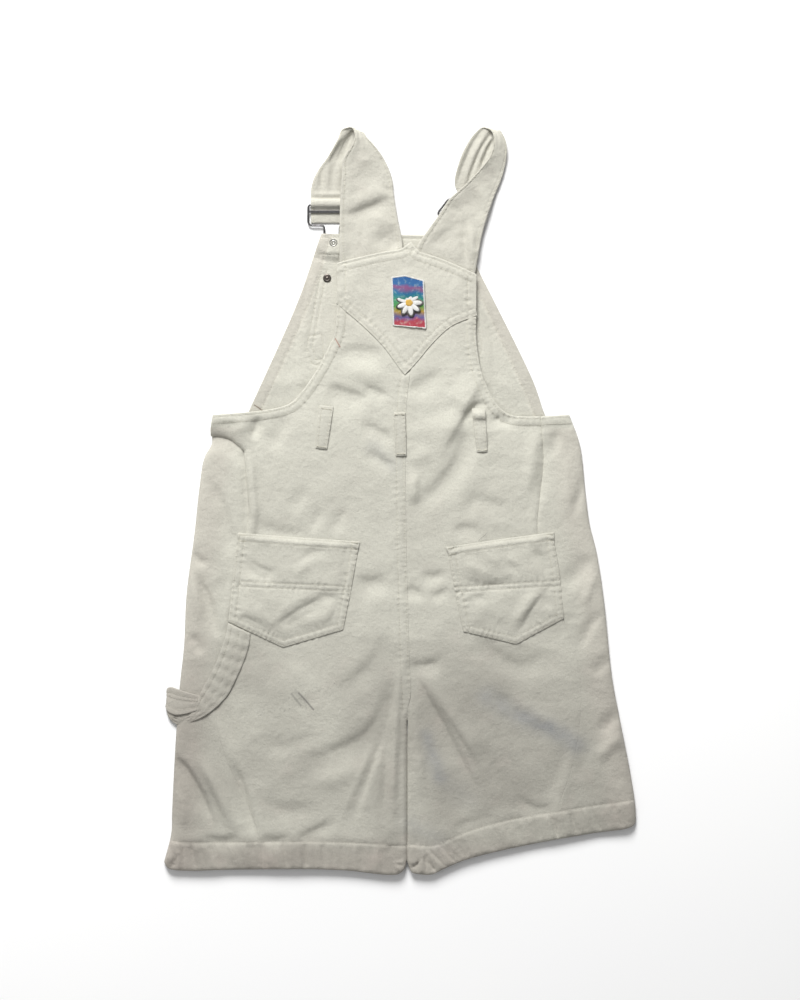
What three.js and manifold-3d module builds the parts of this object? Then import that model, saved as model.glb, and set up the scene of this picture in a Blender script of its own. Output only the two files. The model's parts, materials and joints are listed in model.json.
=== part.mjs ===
// Short bib overalls in heavy cotton twill, laid flat face down with the back uppermost.
// Units are millimetres. X runs across the garment, +Y from the hems to the straps, +Z up from the
// surface that the garment rests on. The origin is the middle of the whole garment's footprint.
import * as THREE from 'three';
import { mergeVertices } from 'three/addons/utils/BufferGeometryUtils.js';
import Module from 'manifold-3d';

const wasm = await Module();
wasm.setup();

// ---------------------------------------------------------------- driving dimensions

const CLOTH = 1.4; // thickness of one layer of the twill
const TRIM = 1.2; // pockets, belt loops and the hammer loop
const PATCH_THICK = 0.8;
const GAP = 0.3; // air between pieces that are sewn or laid together
const BODY_HEIGHT = 6.5; // top of the back over the surface
const YOKE_LIFT = 3.4; // the yoke's top edge lies over the strap ends
const ROLL = 14; // width of the rounded fold at each side of a leg
const FOLDED_EDGE = 2.2; // top of the upper layer where it turns round into the lower one
const SEWN_EDGE = 3.2; // the same, where the two layers are separate pieces
const SLIT_X = 9; // the gap between the legs
const SLIT_HALF = 1;
const CROTCH_Y = -272;
const FRONT_WAIST_Y = 80; // seam between the bib and the two front legs
const CENTRE_FRONT_X = 0;
const BIB_CENTRE_X = -7;
const FAR = 60; // prisms reach this far above and below the cloth
const FLATNESS = 0.04; // faces that agree to within this become one

const WIRE = 1.3; // radius of the buckle's wire
const WIRE_Z = 3.4;
const BUTTON_RISE = 5; // the bib is lifted by the button under it
const BUTTON = { head: 8.5, headHeight: 1.8, shank: 1.8, back: 5, backHeight: 1.2 };
const RIVET = { head: 4.2, shank: 1.4, back: 5, cap: 0.8 };

const BUCKLES = {
  left: { x: -88, y: 356, turn: 0 },
  right: { x: 75, y: 351, turn: -38 * THREE.MathUtils.DEG2RAD },
};
const BUTTONS = { left: [-83, 321], right: [57, 320] };
const RIVETS = { left: [-91, 277], right: [77, 277] };

// ---------------------------------------------------------------- materials

const colour = (hex, roughness, metalness) =>
  new THREE.MeshStandardMaterial({ color: hex, roughness, metalness });
const MATERIAL = {
  twill: colour(0xdedccf, 0.9, 0),
  steel: colour(0x4b4a4c, 0.4, 0.9),
  silver: colour(0xa9a9a6, 0.35, 0.9),
  patch: colour(0x3f74b5, 0.7, 0),
};

// ---------------------------------------------------------------- curves and outlines

// A smooth line through a few points, as [x, y] pairs.
function smooth(points, steps = points.length * 3) {
  const nodes = points.map(([x, y]) => new THREE.Vector3(x, y, 0));
  const curve = new THREE.CatmullRomCurve3(nodes, false, 'centripetal');
  return curve.getPoints(steps).map((p) => [p.x, p.y]);
}

const reversed = (line) => [...line].reverse();

// The x of a line at height y; the line falls steadily in y.
function xAt(line, y) {
  if (y >= line[0][1]) return line[0][0];
  for (let i = 1; i < line.length; i += 1) {
    const [x0, y0] = line[i - 1];
    const [x1, y1] = line[i];
    if (y >= y1) return x0 + ((x1 - x0) * (y0 - y)) / (y0 - y1);
  }
  return line[line.length - 1][0];
}

// How far a point is from a line, and below zero on the line's left hand.
function signedDistance(line, x, y) {
  let best = Infinity;
  for (let i = 1; i < line.length; i += 1) {
    const [ax, ay] = line[i - 1];
    const [bx, by] = line[i];
    const dx = bx - ax;
    const dy = by - ay;
    const along = THREE.MathUtils.clamp(((x - ax) * dx + (y - ay) * dy) / (dx * dx + dy * dy), 0, 1);
    const distance = Math.hypot(x - ax - along * dx, y - ay - along * dy);
    const side = dx * (y - ay) - dy * (x - ax) > 0 ? -1 : 1;
    if (distance < Math.abs(best)) best = side * distance;
  }
  return best;
}

const distanceTo = (line, x, y) => Math.abs(signedDistance(line, x, y));

// Left and right are the wearer's own, which are the viewer's too with the back uppermost.
const SIDE_LEFT = smooth([
  [-233, 106], [-236, 89], [-234, 72], [-244, 52], [-250, 15], [-256, -41], [-266, -118],
  [-269, -181], [-274, -228], [-279, -292], [-284, -388], [-285, -416], [-294, -452],
]);
const SIDE_RIGHT = smooth([
  [211, 106], [224, 69], [231, 8], [236, -29], [245, -66], [254, -125], [264, -220],
  [274, -274], [286, -335], [293, -380], [294, -398],
]);
const SEAM_LEFT = smooth([
  [-194, 61], [-192, 28], [-189, -14], [-195, -60], [-214, -152], [-226, -215], [-229, -275],
  [-214, -330], [-192, -376], [-176, -421], [-172, -460],
]);
const SEAM_RIGHT = smooth([
  [176, 104], [179, 48], [174, -2], [172, -40], [204, -148], [224, -215], [225, -270],
  [214, -335], [198, -382], [195, -423],
]);
const HEM_LEFT_OUTER = smooth([[-172, -460], [-230, -461], [-262, -462], [-289, -459], [-294, -452]]);
const HEM_LEFT_INNER = smooth([
  [-172, -460], [-106, -460], [-62, -462], [-19, -466.8], [-2, -466], [5, -460], [8, -450],
]);
const HEM_RIGHT_INNER = smooth([
  [10, -454], [15, -464], [22, -466], [40, -466.5], [54, -460], [80, -449], [130, -436], [195, -423],
]);
const HEM_RIGHT_OUTER = smooth([[195, -423], [240, -415.5], [284, -409], [292, -405], [294, -398]]);
const CENTRE_BACK = smooth([[6, 160], [1, 110], [1, -38], [3, -125], [6, -220], [9, CROTCH_Y]]);
const YOKE_SEAM_LEFT = smooth([[-78, 248], [-44, 219], [-19, 194], [6, 160]]);
const YOKE_SEAM_RIGHT = smooth([[95, 233], [62, 219], [37, 196], [22, 178], [6, 160]]);
const ARMHOLE_LEFT = smooth([
  [-78, 248], [-81, 210], [-90, 188], [-102, 165], [-120, 138], [-136, 121], [-156, 114],
  [-192, 109], [-233, 106],
]);
const ARMHOLE_RIGHT = smooth([
  [95, 233], [95, 202], [101, 162], [109, 140], [119, 121], [135, 107], [155, 104], [176, 104],
]);
const TAB_EDGE = smooth([[-234, 77], [-222, 79], [-211, 75], [-201, 67], [-194, 61]]);
const YOKE_TOP = [
  ...smooth([[-78, 295], [-60, 300], [-20, 309], [2, 313], [13, 321]]),
  ...smooth([[24, 309], [52, 300], [80, 288], [95, 281]]),
];
const BIB_LEFT = smooth([[-98, 332], [-105, 312], [-126, 251], [-188, 112], [-200, 85]]);
const BIB_RIGHT = smooth([[76, 330], [96, 290], [166, 148], [180, 108], [192, 85]]);

// ---------------------------------------------------------------- solids

function solidOf(geometry, tolerance = 1e-4) {
  geometry.deleteAttribute('normal');
  geometry.deleteAttribute('uv');
  const merged = mergeVertices(geometry, tolerance);
  return new wasm.Manifold(new wasm.Mesh({
    numProp: 3,
    vertProperties: new Float32Array(merged.attributes.position.array),
    triVerts: new Uint32Array(merged.index.array),
  }));
}

// The upright prism over a closed outline.
function prism(outline, low = -FAR, high = FAR) {
  const points = outline.filter(([x, y], i) => {
    const [px, py] = outline[(i + outline.length - 1) % outline.length];
    return Math.hypot(x - px, y - py) > 0.01;
  });
  const shape = new THREE.Shape(points.map(([x, y]) => new THREE.Vector2(x, y)));
  const geometry = new THREE.ExtrudeGeometry(shape, { depth: high - low, bevelEnabled: false });
  geometry.translate(0, 0, low);
  return solidOf(geometry);
}

// The outline of a band of one width that follows a line.
function band(line, width) {
  const offset = (side) => line.map(([x, y], i) => {
    const [ax, ay] = line[Math.max(i - 1, 0)];
    const [bx, by] = line[Math.min(i + 1, line.length - 1)];
    const length = Math.hypot(bx - ax, by - ay);
    return [x - (side * width * (by - ay)) / (2 * length), y + (side * width * (bx - ax)) / (2 * length)];
  });
  return [...offset(1), ...reversed(offset(-1))];
}

// A sheet of cloth over a net of rows and columns: its top is at height(x, y), its underside one
// thickness lower. The net is placed by a frame { x, y, turn }.
function sheet({ rows, columnsAt, height, thickness, frame = { x: 0, y: 0, turn: 0 } }) {
  const across = columnsAt(rows[0]).length;
  const cos = Math.cos(frame.turn);
  const sin = Math.sin(frame.turn);
  const top = [];
  const under = [];
  for (const row of rows) {
    for (const column of columnsAt(row)) {
      const x = frame.x + cos * column - sin * row;
      const y = frame.y + sin * column + cos * row;
      const z = height(x, y, column, row);
      top.push(x, y, z);
      under.push(x, y, z - thickness);
    }
  }
  const count = rows.length * across;
  const faces = [];
  const quad = (a, b, c, d) => faces.push(a, b, c, a, c, d);
  for (let r = 0; r + 1 < rows.length; r += 1) {
    for (let c = 0; c + 1 < across; c += 1) {
      const a = r * across + c;
      quad(a, a + 1, a + across + 1, a + across);
      quad(count + a, count + a + across, count + a + across + 1, count + a + 1);
    }
    const left = r * across;
    const right = left + across - 1;
    quad(left, left + across, count + left + across, count + left);
    quad(right + across, right, count + right, count + right + across);
  }
  for (let c = 0; c + 1 < across; c += 1) {
    const near = c;
    const far = (rows.length - 1) * across + c;
    quad(near + 1, near, count + near, count + near + 1);
    quad(far, far + 1, count + far + 1, count + far);
  }
  return new wasm.Manifold(new wasm.Mesh({
    numProp: 3,
    vertProperties: new Float32Array([...top, ...under]),
    triVerts: new Uint32Array(faces),
  }));
}

const steps = (from, to, count) =>
  Array.from({ length: count + 1 }, (_, i) => from + ((to - from) * i) / count);
const easeIn = (t) => THREE.MathUtils.smoothstep(t, 0, 1);
// A quarter round: 0 at the fold, 1 where the cloth is level.
const quarterRound = (t) => Math.sqrt(1 - (1 - THREE.MathUtils.clamp(t, 0, 1)) ** 2);

// ---------------------------------------------------------------- the upper layer's shape

// The largest folds of the back: a line, how far it rises (or sinks), and its half width.
const FOLDS = [
  { line: [[-81, 176], [-55, 185], [-20, 181]], rise: -1.2, reach: 14 },
  { line: [[-89, 140], [-41, 126]], rise: -1.6, reach: 14 },
  { line: [[88, 150], [61, 86], [41, 50]], rise: 2.2, reach: 20 },
  { line: [[88, 71], [59, 22], [26, -5]], rise: -2.0, reach: 18 },
  { line: [[15, -201], [54, -288], [72, -329]], rise: -1.6, reach: 16 },
  { line: [[-4, -219], [-30, -269], [-74, -300], [-126, -321]], rise: -2.0, reach: 18 },
  { line: [[-15, -176], [-50, -220], [-74, -228]], rise: -1.5, reach: 15 },
  { line: [[-10, -290], [-30, -350], [-40, -420]], rise: 1.8, reach: 14 },
  { line: [[-229, -275], [-192, -376], [-176, -421]], rise: 1.8, reach: 20 },
  { line: [[-276, -329], [-241, -376]], rise: -1.6, reach: 16 },
  { line: [[98, -174], [154, -205], [186, -191]], rise: -1.2, reach: 18 },
  { line: [[179, 75], [176, 0]], rise: -1.8, reach: 14 },
  { line: [[-160, -160], [-82, -118]], rise: -1.5, reach: 16 },
  { line: [[154, -160], [191, -112]], rise: -1.5, reach: 16 },
];

function foldHeight(x, y) {
  return FOLDS.reduce((sum, { line, rise, reach }) =>
    sum + rise * Math.exp(-((distanceTo(line, x, y) / reach) ** 2)), 0);
}

// Top of the upper layer. It rounds down at the leg's sides and, below the crotch, at the gap.
function topHeight(x, y, edge) {
  const level = BODY_HEIGHT + foldHeight(x, y) + YOKE_LIFT * easeIn((y - 222) / 48);
  const above = easeIn((y - 60) / 50);
  const side = Math.min(x - xAt(SIDE_LEFT, y), xAt(SIDE_RIGHT, y) - x) / ROLL;
  const sideRound = Math.max(quarterRound(side), above);
  const slit = (Math.abs(x - SLIT_X) - SLIT_HALF) / ROLL;
  const slitRound = Math.max(quarterRound(slit), easeIn((y - CROTCH_Y + 20) / 30));
  return edge + (level - edge) * sideRound * slitRound;
}

const BODY_ROWS = steps(-480, 350, 37);
const COLUMN_INSETS = [0, 3, 8, ROLL];
const INNER_COLUMNS = 6; // between the side roll and the roll at the gap

function bodyColumns(y) {
  const left = y > SIDE_LEFT[0][1] ? xAt(BIB_LEFT, y) - ROLL : xAt(SIDE_LEFT, y);
  const right = y > SIDE_RIGHT[0][1] ? xAt(BIB_RIGHT, y) + ROLL : xAt(SIDE_RIGHT, y);
  const gapLeft = SLIT_X - SLIT_HALF;
  const gapRight = SLIT_X + SLIT_HALF;
  const between = (a, b) => steps(a, b, INNER_COLUMNS).slice(1, -1);
  return [
    left - 2 * ROLL,
    ...COLUMN_INSETS.map((d) => left + d),
    ...between(left + ROLL, gapLeft - ROLL),
    ...[...COLUMN_INSETS].reverse().map((d) => gapLeft - d),
    ...COLUMN_INSETS.map((d) => gapRight + d),
    ...between(gapRight + ROLL, right - ROLL),
    ...[...COLUMN_INSETS].reverse().map((d) => right - d),
    right + 2 * ROLL,
  ];
}

// One layer on the upper surface: from `clear` to `clear + thickness` above the back's top.
function upperLayer(edge, clear, thickness) {
  return sheet({
    rows: BODY_ROWS,
    columnsAt: bodyColumns,
    height: (x, y) => topHeight(x, y, edge) + clear + thickness,
    thickness,
  });
}

const BACK_LAYER = upperLayer(SEWN_EDGE, -CLOTH, CLOTH);
const FRONT_LAYER = upperLayer(FOLDED_EDGE, -CLOTH, CLOTH);
const TRIM_LAYER = upperLayer(SEWN_EDGE, GAP, TRIM);
const PATCH_LAYER = upperLayer(SEWN_EDGE, GAP, PATCH_THICK);

// The seams are narrow gaps through the upper layer.
const SEAMS = [CENTRE_BACK, YOKE_SEAM_LEFT, YOKE_SEAM_RIGHT, SEAM_LEFT, SEAM_RIGHT, TAB_EDGE]
  .map((line) => prism(band(line, GAP)))
  .reduce((all, seam) => all.add(seam));

// ---------------------------------------------------------------- panels

function frontLeft() {
  const down = SIDE_LEFT.filter(([, y]) => y < FRONT_WAIST_Y);
  const lower = prism([
    [xAt(SIDE_LEFT, FRONT_WAIST_Y), FRONT_WAIST_Y], ...down, ...reversed(HEM_LEFT_OUTER),
    ...HEM_LEFT_INNER, [SLIT_X - SLIT_HALF, CROTCH_Y], [SLIT_X - GAP / 2, CROTCH_Y + 10],
    [CENTRE_FRONT_X - GAP / 2, CROTCH_Y + 90], [CENTRE_FRONT_X - GAP / 2, FRONT_WAIST_Y],
  ], 0, CLOTH);
  const strip = prism([
    ...SEAM_LEFT, ...HEM_LEFT_OUTER, ...reversed(SIDE_LEFT.filter(([, y]) => y < 75)), ...TAB_EDGE,
  ]);
  return lower.add(FRONT_LAYER.intersect(strip).subtract(SEAMS));
}

function frontRight() {
  const lower = prism([
    [xAt(SIDE_RIGHT, FRONT_WAIST_Y), FRONT_WAIST_Y], ...SIDE_RIGHT.filter(([, y]) => y < FRONT_WAIST_Y),
    ...reversed(HEM_RIGHT_OUTER), ...reversed(HEM_RIGHT_INNER), [SLIT_X + SLIT_HALF, CROTCH_Y],
    [SLIT_X + GAP / 2, CROTCH_Y + 10], [CENTRE_FRONT_X + GAP / 2, CROTCH_Y + 90],
    [CENTRE_FRONT_X + GAP / 2, FRONT_WAIST_Y],
  ], 0, CLOTH);
  const strip = prism([...SEAM_RIGHT, ...HEM_RIGHT_OUTER, ...reversed(SIDE_RIGHT)]);
  return lower.add(FRONT_LAYER.intersect(strip).subtract(SEAMS));
}

function backLeft() {
  return BACK_LAYER.intersect(prism([
    ...YOKE_SEAM_LEFT, ...CENTRE_BACK, [SLIT_X - SLIT_HALF, CROTCH_Y - 4], ...reversed(HEM_LEFT_INNER),
    ...reversed(SEAM_LEFT), ...reversed(TAB_EDGE), [-236, 89], ...reversed(ARMHOLE_LEFT),
  ])).subtract(SEAMS);
}

function backRight() {
  return BACK_LAYER.intersect(prism([
    ...YOKE_SEAM_RIGHT, ...CENTRE_BACK, [SLIT_X + SLIT_HALF, CROTCH_Y - 4], ...HEM_RIGHT_INNER,
    ...reversed(SEAM_RIGHT), ...reversed(ARMHOLE_RIGHT),
  ])).subtract(SEAMS);
}

function backYoke() {
  return BACK_LAYER.intersect(prism([
    ...YOKE_SEAM_LEFT, ...reversed(YOKE_SEAM_RIGHT), ...reversed(YOKE_TOP),
  ])).subtract(SEAMS);
}

// ---------------------------------------------------------------- bib

const POCKET_TOP_Y = 290;
const BIB_POCKET = [
  [-100, POCKET_TOP_Y], [-119, 190], [-112, 168], [BIB_CENTRE_X, 150],
  [98, 168], [105, 190], [86, POCKET_TOP_Y],
];
const BIB_COLUMNS = [
  -215, -160, -130, -121, -110, -103, -93, -83, -73, -63, -50, BIB_CENTRE_X, 26, 38, 48, 58, 68, 78,
  90, 99, 107, 116, 150, 215,
];
const BIB_ROWS = [70, 130, 147, 166, 192, 240, 278, 288, 294, 303, 312, 322, 332, 345];

// The bib steps over its pocket and over the two buttons, which lie under it.
function bibHeight(x, y) {
  const halfPocket = 93 + (POCKET_TOP_Y - Math.max(y, 190)) * 0.19;
  const beyond = Math.max(Math.abs(x - BIB_CENTRE_X) - halfPocket, y - POCKET_TOP_Y, 152 - y);
  const overPocket = 1 - easeIn((beyond - 7) / 9);
  const nearest = Math.min(...Object.values(BUTTONS).map(([bx, by]) => Math.hypot(x - bx, y - by)));
  const overButton = 1 - easeIn((nearest - 22) / 12);
  return CLOTH + Math.max((TRIM + GAP) * overPocket, BUTTON_RISE * overButton);
}

function bib() {
  const outline = prism([
    ...BIB_LEFT, [-202, FRONT_WAIST_Y + GAP], [194, FRONT_WAIST_Y + GAP], ...reversed(BIB_RIGHT),
  ]);
  const cloth = sheet({
    rows: BIB_ROWS, columnsAt: () => BIB_COLUMNS, height: bibHeight, thickness: CLOTH,
  });
  const holes = [...Object.values(BUTTONS), ...Object.values(RIVETS)].map(([x, y]) => {
    const hole = new THREE.CylinderGeometry(BUTTON.shank + GAP, BUTTON.shank + GAP, FAR, 12);
    return solidOf(hole.rotateX(Math.PI / 2).translate(x, y, 0));
  });
  return holes.reduce((rest, hole) => rest.subtract(hole), cloth.intersect(outline));
}

function bibPocket() {
  const holes = Object.values(RIVETS).map(([x, y]) => {
    const hole = new THREE.CylinderGeometry(BUTTON.shank + GAP, BUTTON.shank + GAP, FAR, 12);
    return solidOf(hole.rotateX(Math.PI / 2).translate(x, y, 0));
  });
  return holes.reduce((rest, hole) => rest.subtract(hole), prism(BIB_POCKET, 0, TRIM));
}

// ---------------------------------------------------------------- shoulder straps

// A buckle's own axes: across its width, and along the strap that runs through it.
function inBuckle({ x, y, turn }, across, along) {
  return [
    x + Math.cos(turn) * across - Math.sin(turn) * along,
    y + Math.sin(turn) * across + Math.cos(turn) * along,
  ];
}

const STRAP_HALF = 23; // half the strap's width at the buckle
const TAIL_END = -10.5; // the turned end stops short of the buckle's lower wire
const OVER_WIRE = WIRE_Z + WIRE + GAP + CLOTH;
const UNDER_SLIDER = 2.3;
const FOLD_MARGIN = 4; // the two halves touch over this width at the fold

// The lower half runs flat, rises over the buckle's top wire and dips under the slider bar.
function tailHeight(along) {
  const up = easeIn((30 - along) / 12);
  const down = easeIn((10.5 - along) / 4);
  return CLOTH + (OVER_WIRE - CLOTH) * up - (OVER_WIRE - UNDER_SLIDER) * down;
}

const STRAPS = {
  left: {
    buckle: BUCKLES.left,
    base: [[-78, 286], [3, 306]],
    crest: smooth([[-81, 438], [-72, 452], [-62, 467], [-53, 460], [-42, 451]]),
    upper: [
      [-75, 289], [-75, 338], [-74, 375], [-72, 412], [-73, 430], [-75, 447], ...smooth([
        [-72, 452], [-62, 467], [-53, 460], [-42, 451], [-25, 431], [-12, 406], [-9, 380], [-4, 350],
        [3, 320],
      ]), [2, 305],
    ],
    lower: [
      ...smooth([[-111, 378], [-109, 400], [-100, 415], [-81, 438], [-72, 452], [-62, 467], [-53, 460],
        [-42, 451]]), [-48, 425], [-60, 400], [-65, 378],
    ],
    top: 10.4,
    riseFrom: 12,
  },
  right: {
    buckle: BUCKLES.right,
    base: [[20, 298], [88, 272]],
    crest: smooth([[91, 454], [102, 464], [114, 467], [121, 461], [127, 452]]),
    upper: [
      [19, 301], ...smooth([[22, 315], [37, 339], [50, 357], [62, 375], [79, 391], [97, 414],
        [112, 430]]), [105, 450], [102, 464], ...smooth([[114, 467], [121, 461], [127, 452], [132, 430],
        [129, 411], [115, 375], [101, 331], [95, 300]]), [92, 275],
    ],
    lower: [
      ...smooth([[68, 382], [70, 405], [79, 435], [91, 454], [102, 464], [114, 467], [121, 461],
        [127, 452]]), [122, 425], [112, 395], inBuckle(BUCKLES.right, STRAP_HALF, 26),
    ],
    top: 10.4,
    riseFrom: 18,
  },
};

function strap({ buckle, base, crest, upper, lower, top, riseFrom }) {
  const [[ax, ay], [bx, by]] = base;
  const span = Math.hypot(bx - ax, by - ay);
  const beyond = (x, y) => ((bx - ax) * (y - ay) - (by - ay) * (x - ax)) / span;
  const sewn = BODY_HEIGHT + YOKE_LIFT - CLOTH - GAP;
  const upperHeight = (x, y) => {
    const level = sewn + (top - sewn) * easeIn((beyond(x, y) - riseFrom) / 14);
    const fromFold = signedDistance(crest, x, y) - FOLD_MARGIN;
    return FOLDED_EDGE + (level - FOLDED_EDGE) * quarterRound(fromFold / ROLL);
  };
  const upperSheet = sheet({
    rows: [...steps(260, 290, 2), ...steps(300, 330, 4), ...steps(345, 415, 4), ...steps(422, 472, 9)],
    columnsAt: () => steps(ax - 10, bx + 50, 16),
    height: upperHeight,
    thickness: CLOTH,
  });
  const lowerSheet = sheet({
    frame: buckle,
    rows: [-14, 6.5, 8.5, 10.5, 18, 21, 24, 27, 30, 160],
    columnsAt: () => [-110, 110],
    height: (x, y, across, along) => tailHeight(along),
    thickness: CLOTH,
  });
  const tail = [
    inBuckle(buckle, STRAP_HALF, 12), inBuckle(buckle, STRAP_HALF, TAIL_END),
    inBuckle(buckle, -STRAP_HALF, TAIL_END), inBuckle(buckle, -STRAP_HALF, 12),
  ];
  return upperSheet.intersect(prism(upper)).add(lowerSheet.intersect(prism([...lower, ...tail])));
}

// ---------------------------------------------------------------- pockets, loops and patch

const POCKET_LEFT = [
  [-202, -41], [-125, -47], [-50, -52], [-52, -61], [-61, -112], [-71, -162], [-146, -184], [-214, -152],
];
const POCKET_RIGHT = [
  [57, -59], [125, -49], [192, -40], [192, -52], [199, -92], [204, -148], [145, -180], [79, -164],
  [68, -112], [60, -66],
];
const BELT_LOOPS = {
  left: [[-98.5, 117], [-84, 115], [-91, 63], [-105, 65]],
  center: [[-7.5, 109], [6.5, 109], [8, 55], [-5, 55]],
  right: [[89.5, 114], [106, 113], [109, 60], [96, 60]],
};
const PATCH = [[-10, 277], [6, 279], [29, 273], [32, 214], [-8, 218]];
// A band from the pocket's corner down to the leg's side, where it turns back under itself.
const HAMMER_LOOP = [
  [-214.5, -152.6], [-187, -165.6], ...smooth([[-187, -172], [-195, -201], [-208, -228], [-219, -248],
    [-239, -266], [-265, -276], [-280, -279], [-289, -269], [-291.5, -250], [-289, -234]]),
  [-255, -246], ...smooth([[-252, -249], [-245, -238], [-229, -204], [-215, -168]]),
];

const onBack = (outline) => TRIM_LAYER.intersect(prism(outline));

// ---------------------------------------------------------------- buckles, buttons and rivets

class WirePath extends THREE.CurvePath {
  // A closed path with straight runs and rounded corners, as (across, along, radius).
  constructor(corners) {
    super();
    const place = corners.map(([x, y]) => new THREE.Vector3(x, y, 0));
    const towards = (from, to, distance) =>
      from.clone().add(to.clone().sub(from).setLength(distance));
    corners.forEach(([, , radius], i) => {
      const before = place[(i + place.length - 1) % place.length];
      const here = place[i];
      const after = place[(i + 1) % place.length];
      const next = corners[(i + 1) % corners.length][2];
      this.add(new THREE.QuadraticBezierCurve3(
        towards(here, before, radius), here, towards(here, after, radius),
      ));
      this.add(new THREE.LineCurve3(towards(here, after, radius), towards(after, here, next)));
    });
  }
}

const FRAME = { halfWidth: 26.7, halfLength: 13.4, corner: 6 };
const KEYHOLE = { centre: 3, halfWidth: 9.5, end: -44 };
const WIRE_SIDES = 6;
const WIRE_STEPS = 60;
const RING_MATCH = 0.02; // the tube's first and last rings agree to within this
const SLIDER = { along: 4, width: 4, thickness: 1.4 };

function buckle({ x, y, turn }) {
  const { halfWidth, halfLength, corner } = FRAME;
  const keyLeft = KEYHOLE.centre - KEYHOLE.halfWidth;
  const keyRight = KEYHOLE.centre + KEYHOLE.halfWidth;
  const path = new WirePath([
    [-halfWidth, halfLength, corner], [halfWidth, halfLength, corner],
    [halfWidth, -halfLength, corner], [keyRight, -halfLength, 4],
    [keyRight, KEYHOLE.end, 8], [keyLeft, KEYHOLE.end, 8],
    [keyLeft, -halfLength, 4], [-halfWidth, -halfLength, corner],
  ]);
  const section = new THREE.Shape(Array.from({ length: WIRE_SIDES }, (_, i) => {
    const angle = (2 * Math.PI * (i + 0.5)) / WIRE_SIDES;
    return new THREE.Vector2(WIRE * Math.cos(angle), WIRE * Math.sin(angle));
  }));
  const points = path.getSpacedPoints(WIRE_STEPS).slice(0, -1);
  const route = new THREE.CatmullRomCurve3(points, true, 'centripetal');
  const geometry = new THREE.ExtrudeGeometry(section, {
    steps: WIRE_STEPS, extrudePath: route, bevelEnabled: false,
  });
  const bar = new THREE.BoxGeometry(2 * halfWidth, SLIDER.width, SLIDER.thickness)
    .translate(0, SLIDER.along, 0);
  const place = (shape) => solidOf(shape.rotateZ(turn).translate(x, y, WIRE_Z), RING_MATCH);
  return place(closedTube(geometry)).add(place(bar));
}

// An extrusion round a closed path ends where it begins, so its two end caps are taken away and
// the first and last rings become one.
function closedTube(geometry) {
  geometry.deleteAttribute('normal');
  geometry.deleteAttribute('uv');
  const sides = geometry.groups.find((group) => group.materialIndex === 1);
  const all = geometry.attributes.position.array;
  const position = all.slice(sides.start * 3, (sides.start + sides.count) * 3);
  const tube = new THREE.BufferGeometry();
  tube.setAttribute('position', new THREE.BufferAttribute(position, 3));
  return tube;
}

// A turned piece from its half profile, (radius, height), with both ends on the axis.
function turned(profile, [x, y]) {
  const points = profile.map(([r, z]) => new THREE.Vector2(r, z));
  return solidOf(new THREE.LatheGeometry(points, 16).rotateX(Math.PI / 2).translate(x, y, 0));
}

// A button under the bib, its shank through the cloth, and the tack's round back on top.
function button(place) {
  const { head, headHeight, shank, back, backHeight } = BUTTON;
  const seat = BUTTON_RISE + CLOTH + GAP;
  return turned([
    [0, 0], [head - 1, 0], [head, headHeight / 2], [head - 0.6, headHeight], [shank, headHeight],
    [shank, seat], [back, seat], [back, seat + backHeight / 2], [back - 1, seat + backHeight],
    [0, seat + backHeight],
  ], place);
}

// A rivet that holds the bib pocket's corner.
function rivet(place) {
  const { head, shank, back, cap } = RIVET;
  const seat = CLOTH + TRIM + 2 * GAP;
  return turned([
    [0, 0], [shank, 0], [shank, seat], [back, seat], [back, seat + cap / 2], [head, seat + cap],
    [0, seat + cap],
  ], place);
}

// ---------------------------------------------------------------- assembly

const overalls = new THREE.Group();

function addPiece(name, solid, material) {
  const { vertProperties, triVerts, numProp } = solid.simplify(FLATNESS).getMesh();
  const position = new Float32Array(triVerts.length * 3);
  triVerts.forEach((vertex, i) => {
    for (let axis = 0; axis < 3; axis += 1) {
      position[i * 3 + axis] = vertProperties[vertex * numProp + axis];
    }
  });
  const geometry = new THREE.BufferGeometry();
  geometry.setAttribute('position', new THREE.BufferAttribute(position, 3));
  geometry.computeVertexNormals();
  const mesh = new THREE.Mesh(geometry, material.clone());
  mesh.name = name;
  overalls.add(mesh);
}

const SIDES = ['left', 'right'];

addPiece('front_left', frontLeft(), MATERIAL.twill);
addPiece('front_right', frontRight(), MATERIAL.twill);
addPiece('bib', bib(), MATERIAL.twill);
addPiece('bib_pocket', bibPocket(), MATERIAL.twill);
addPiece('back_left', backLeft(), MATERIAL.twill);
addPiece('back_right', backRight(), MATERIAL.twill);
addPiece('back_yoke', backYoke(), MATERIAL.twill);
addPiece('pocket_back_left', onBack(POCKET_LEFT), MATERIAL.twill);
addPiece('pocket_back_right', onBack(POCKET_RIGHT), MATERIAL.twill);
addPiece('hammer_loop', onBack(HAMMER_LOOP), MATERIAL.twill);
addPiece('patch', PATCH_LAYER.intersect(prism(PATCH)), MATERIAL.patch);
for (const [place, outline] of Object.entries(BELT_LOOPS)) {
  addPiece(`belt_loop_${place}`, onBack(outline), MATERIAL.twill);
}
for (const side of SIDES) {
  addPiece(`strap_${side}`, strap(STRAPS[side]), MATERIAL.twill);
  addPiece(`buckle_${side}`, buckle(BUCKLES[side]), MATERIAL.steel);
  addPiece(`bib_button_${side}`, button(BUTTONS[side]), MATERIAL.silver);
  addPiece(`bib_rivet_${side}`, rivet(RIVETS[side]), MATERIAL.steel);
}

export default overalls;
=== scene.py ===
# %% [markdown]
# # Short bib overalls in off-white cotton twill
# The garment lies flat, face down, with its back uppermost. Two front panels and the bib are at the
# bottom, and the back panels, yoke, pockets and loops lie on them. The shoulder straps fold over and
# come back to their wire buckles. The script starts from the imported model, which fixes every size.

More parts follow.
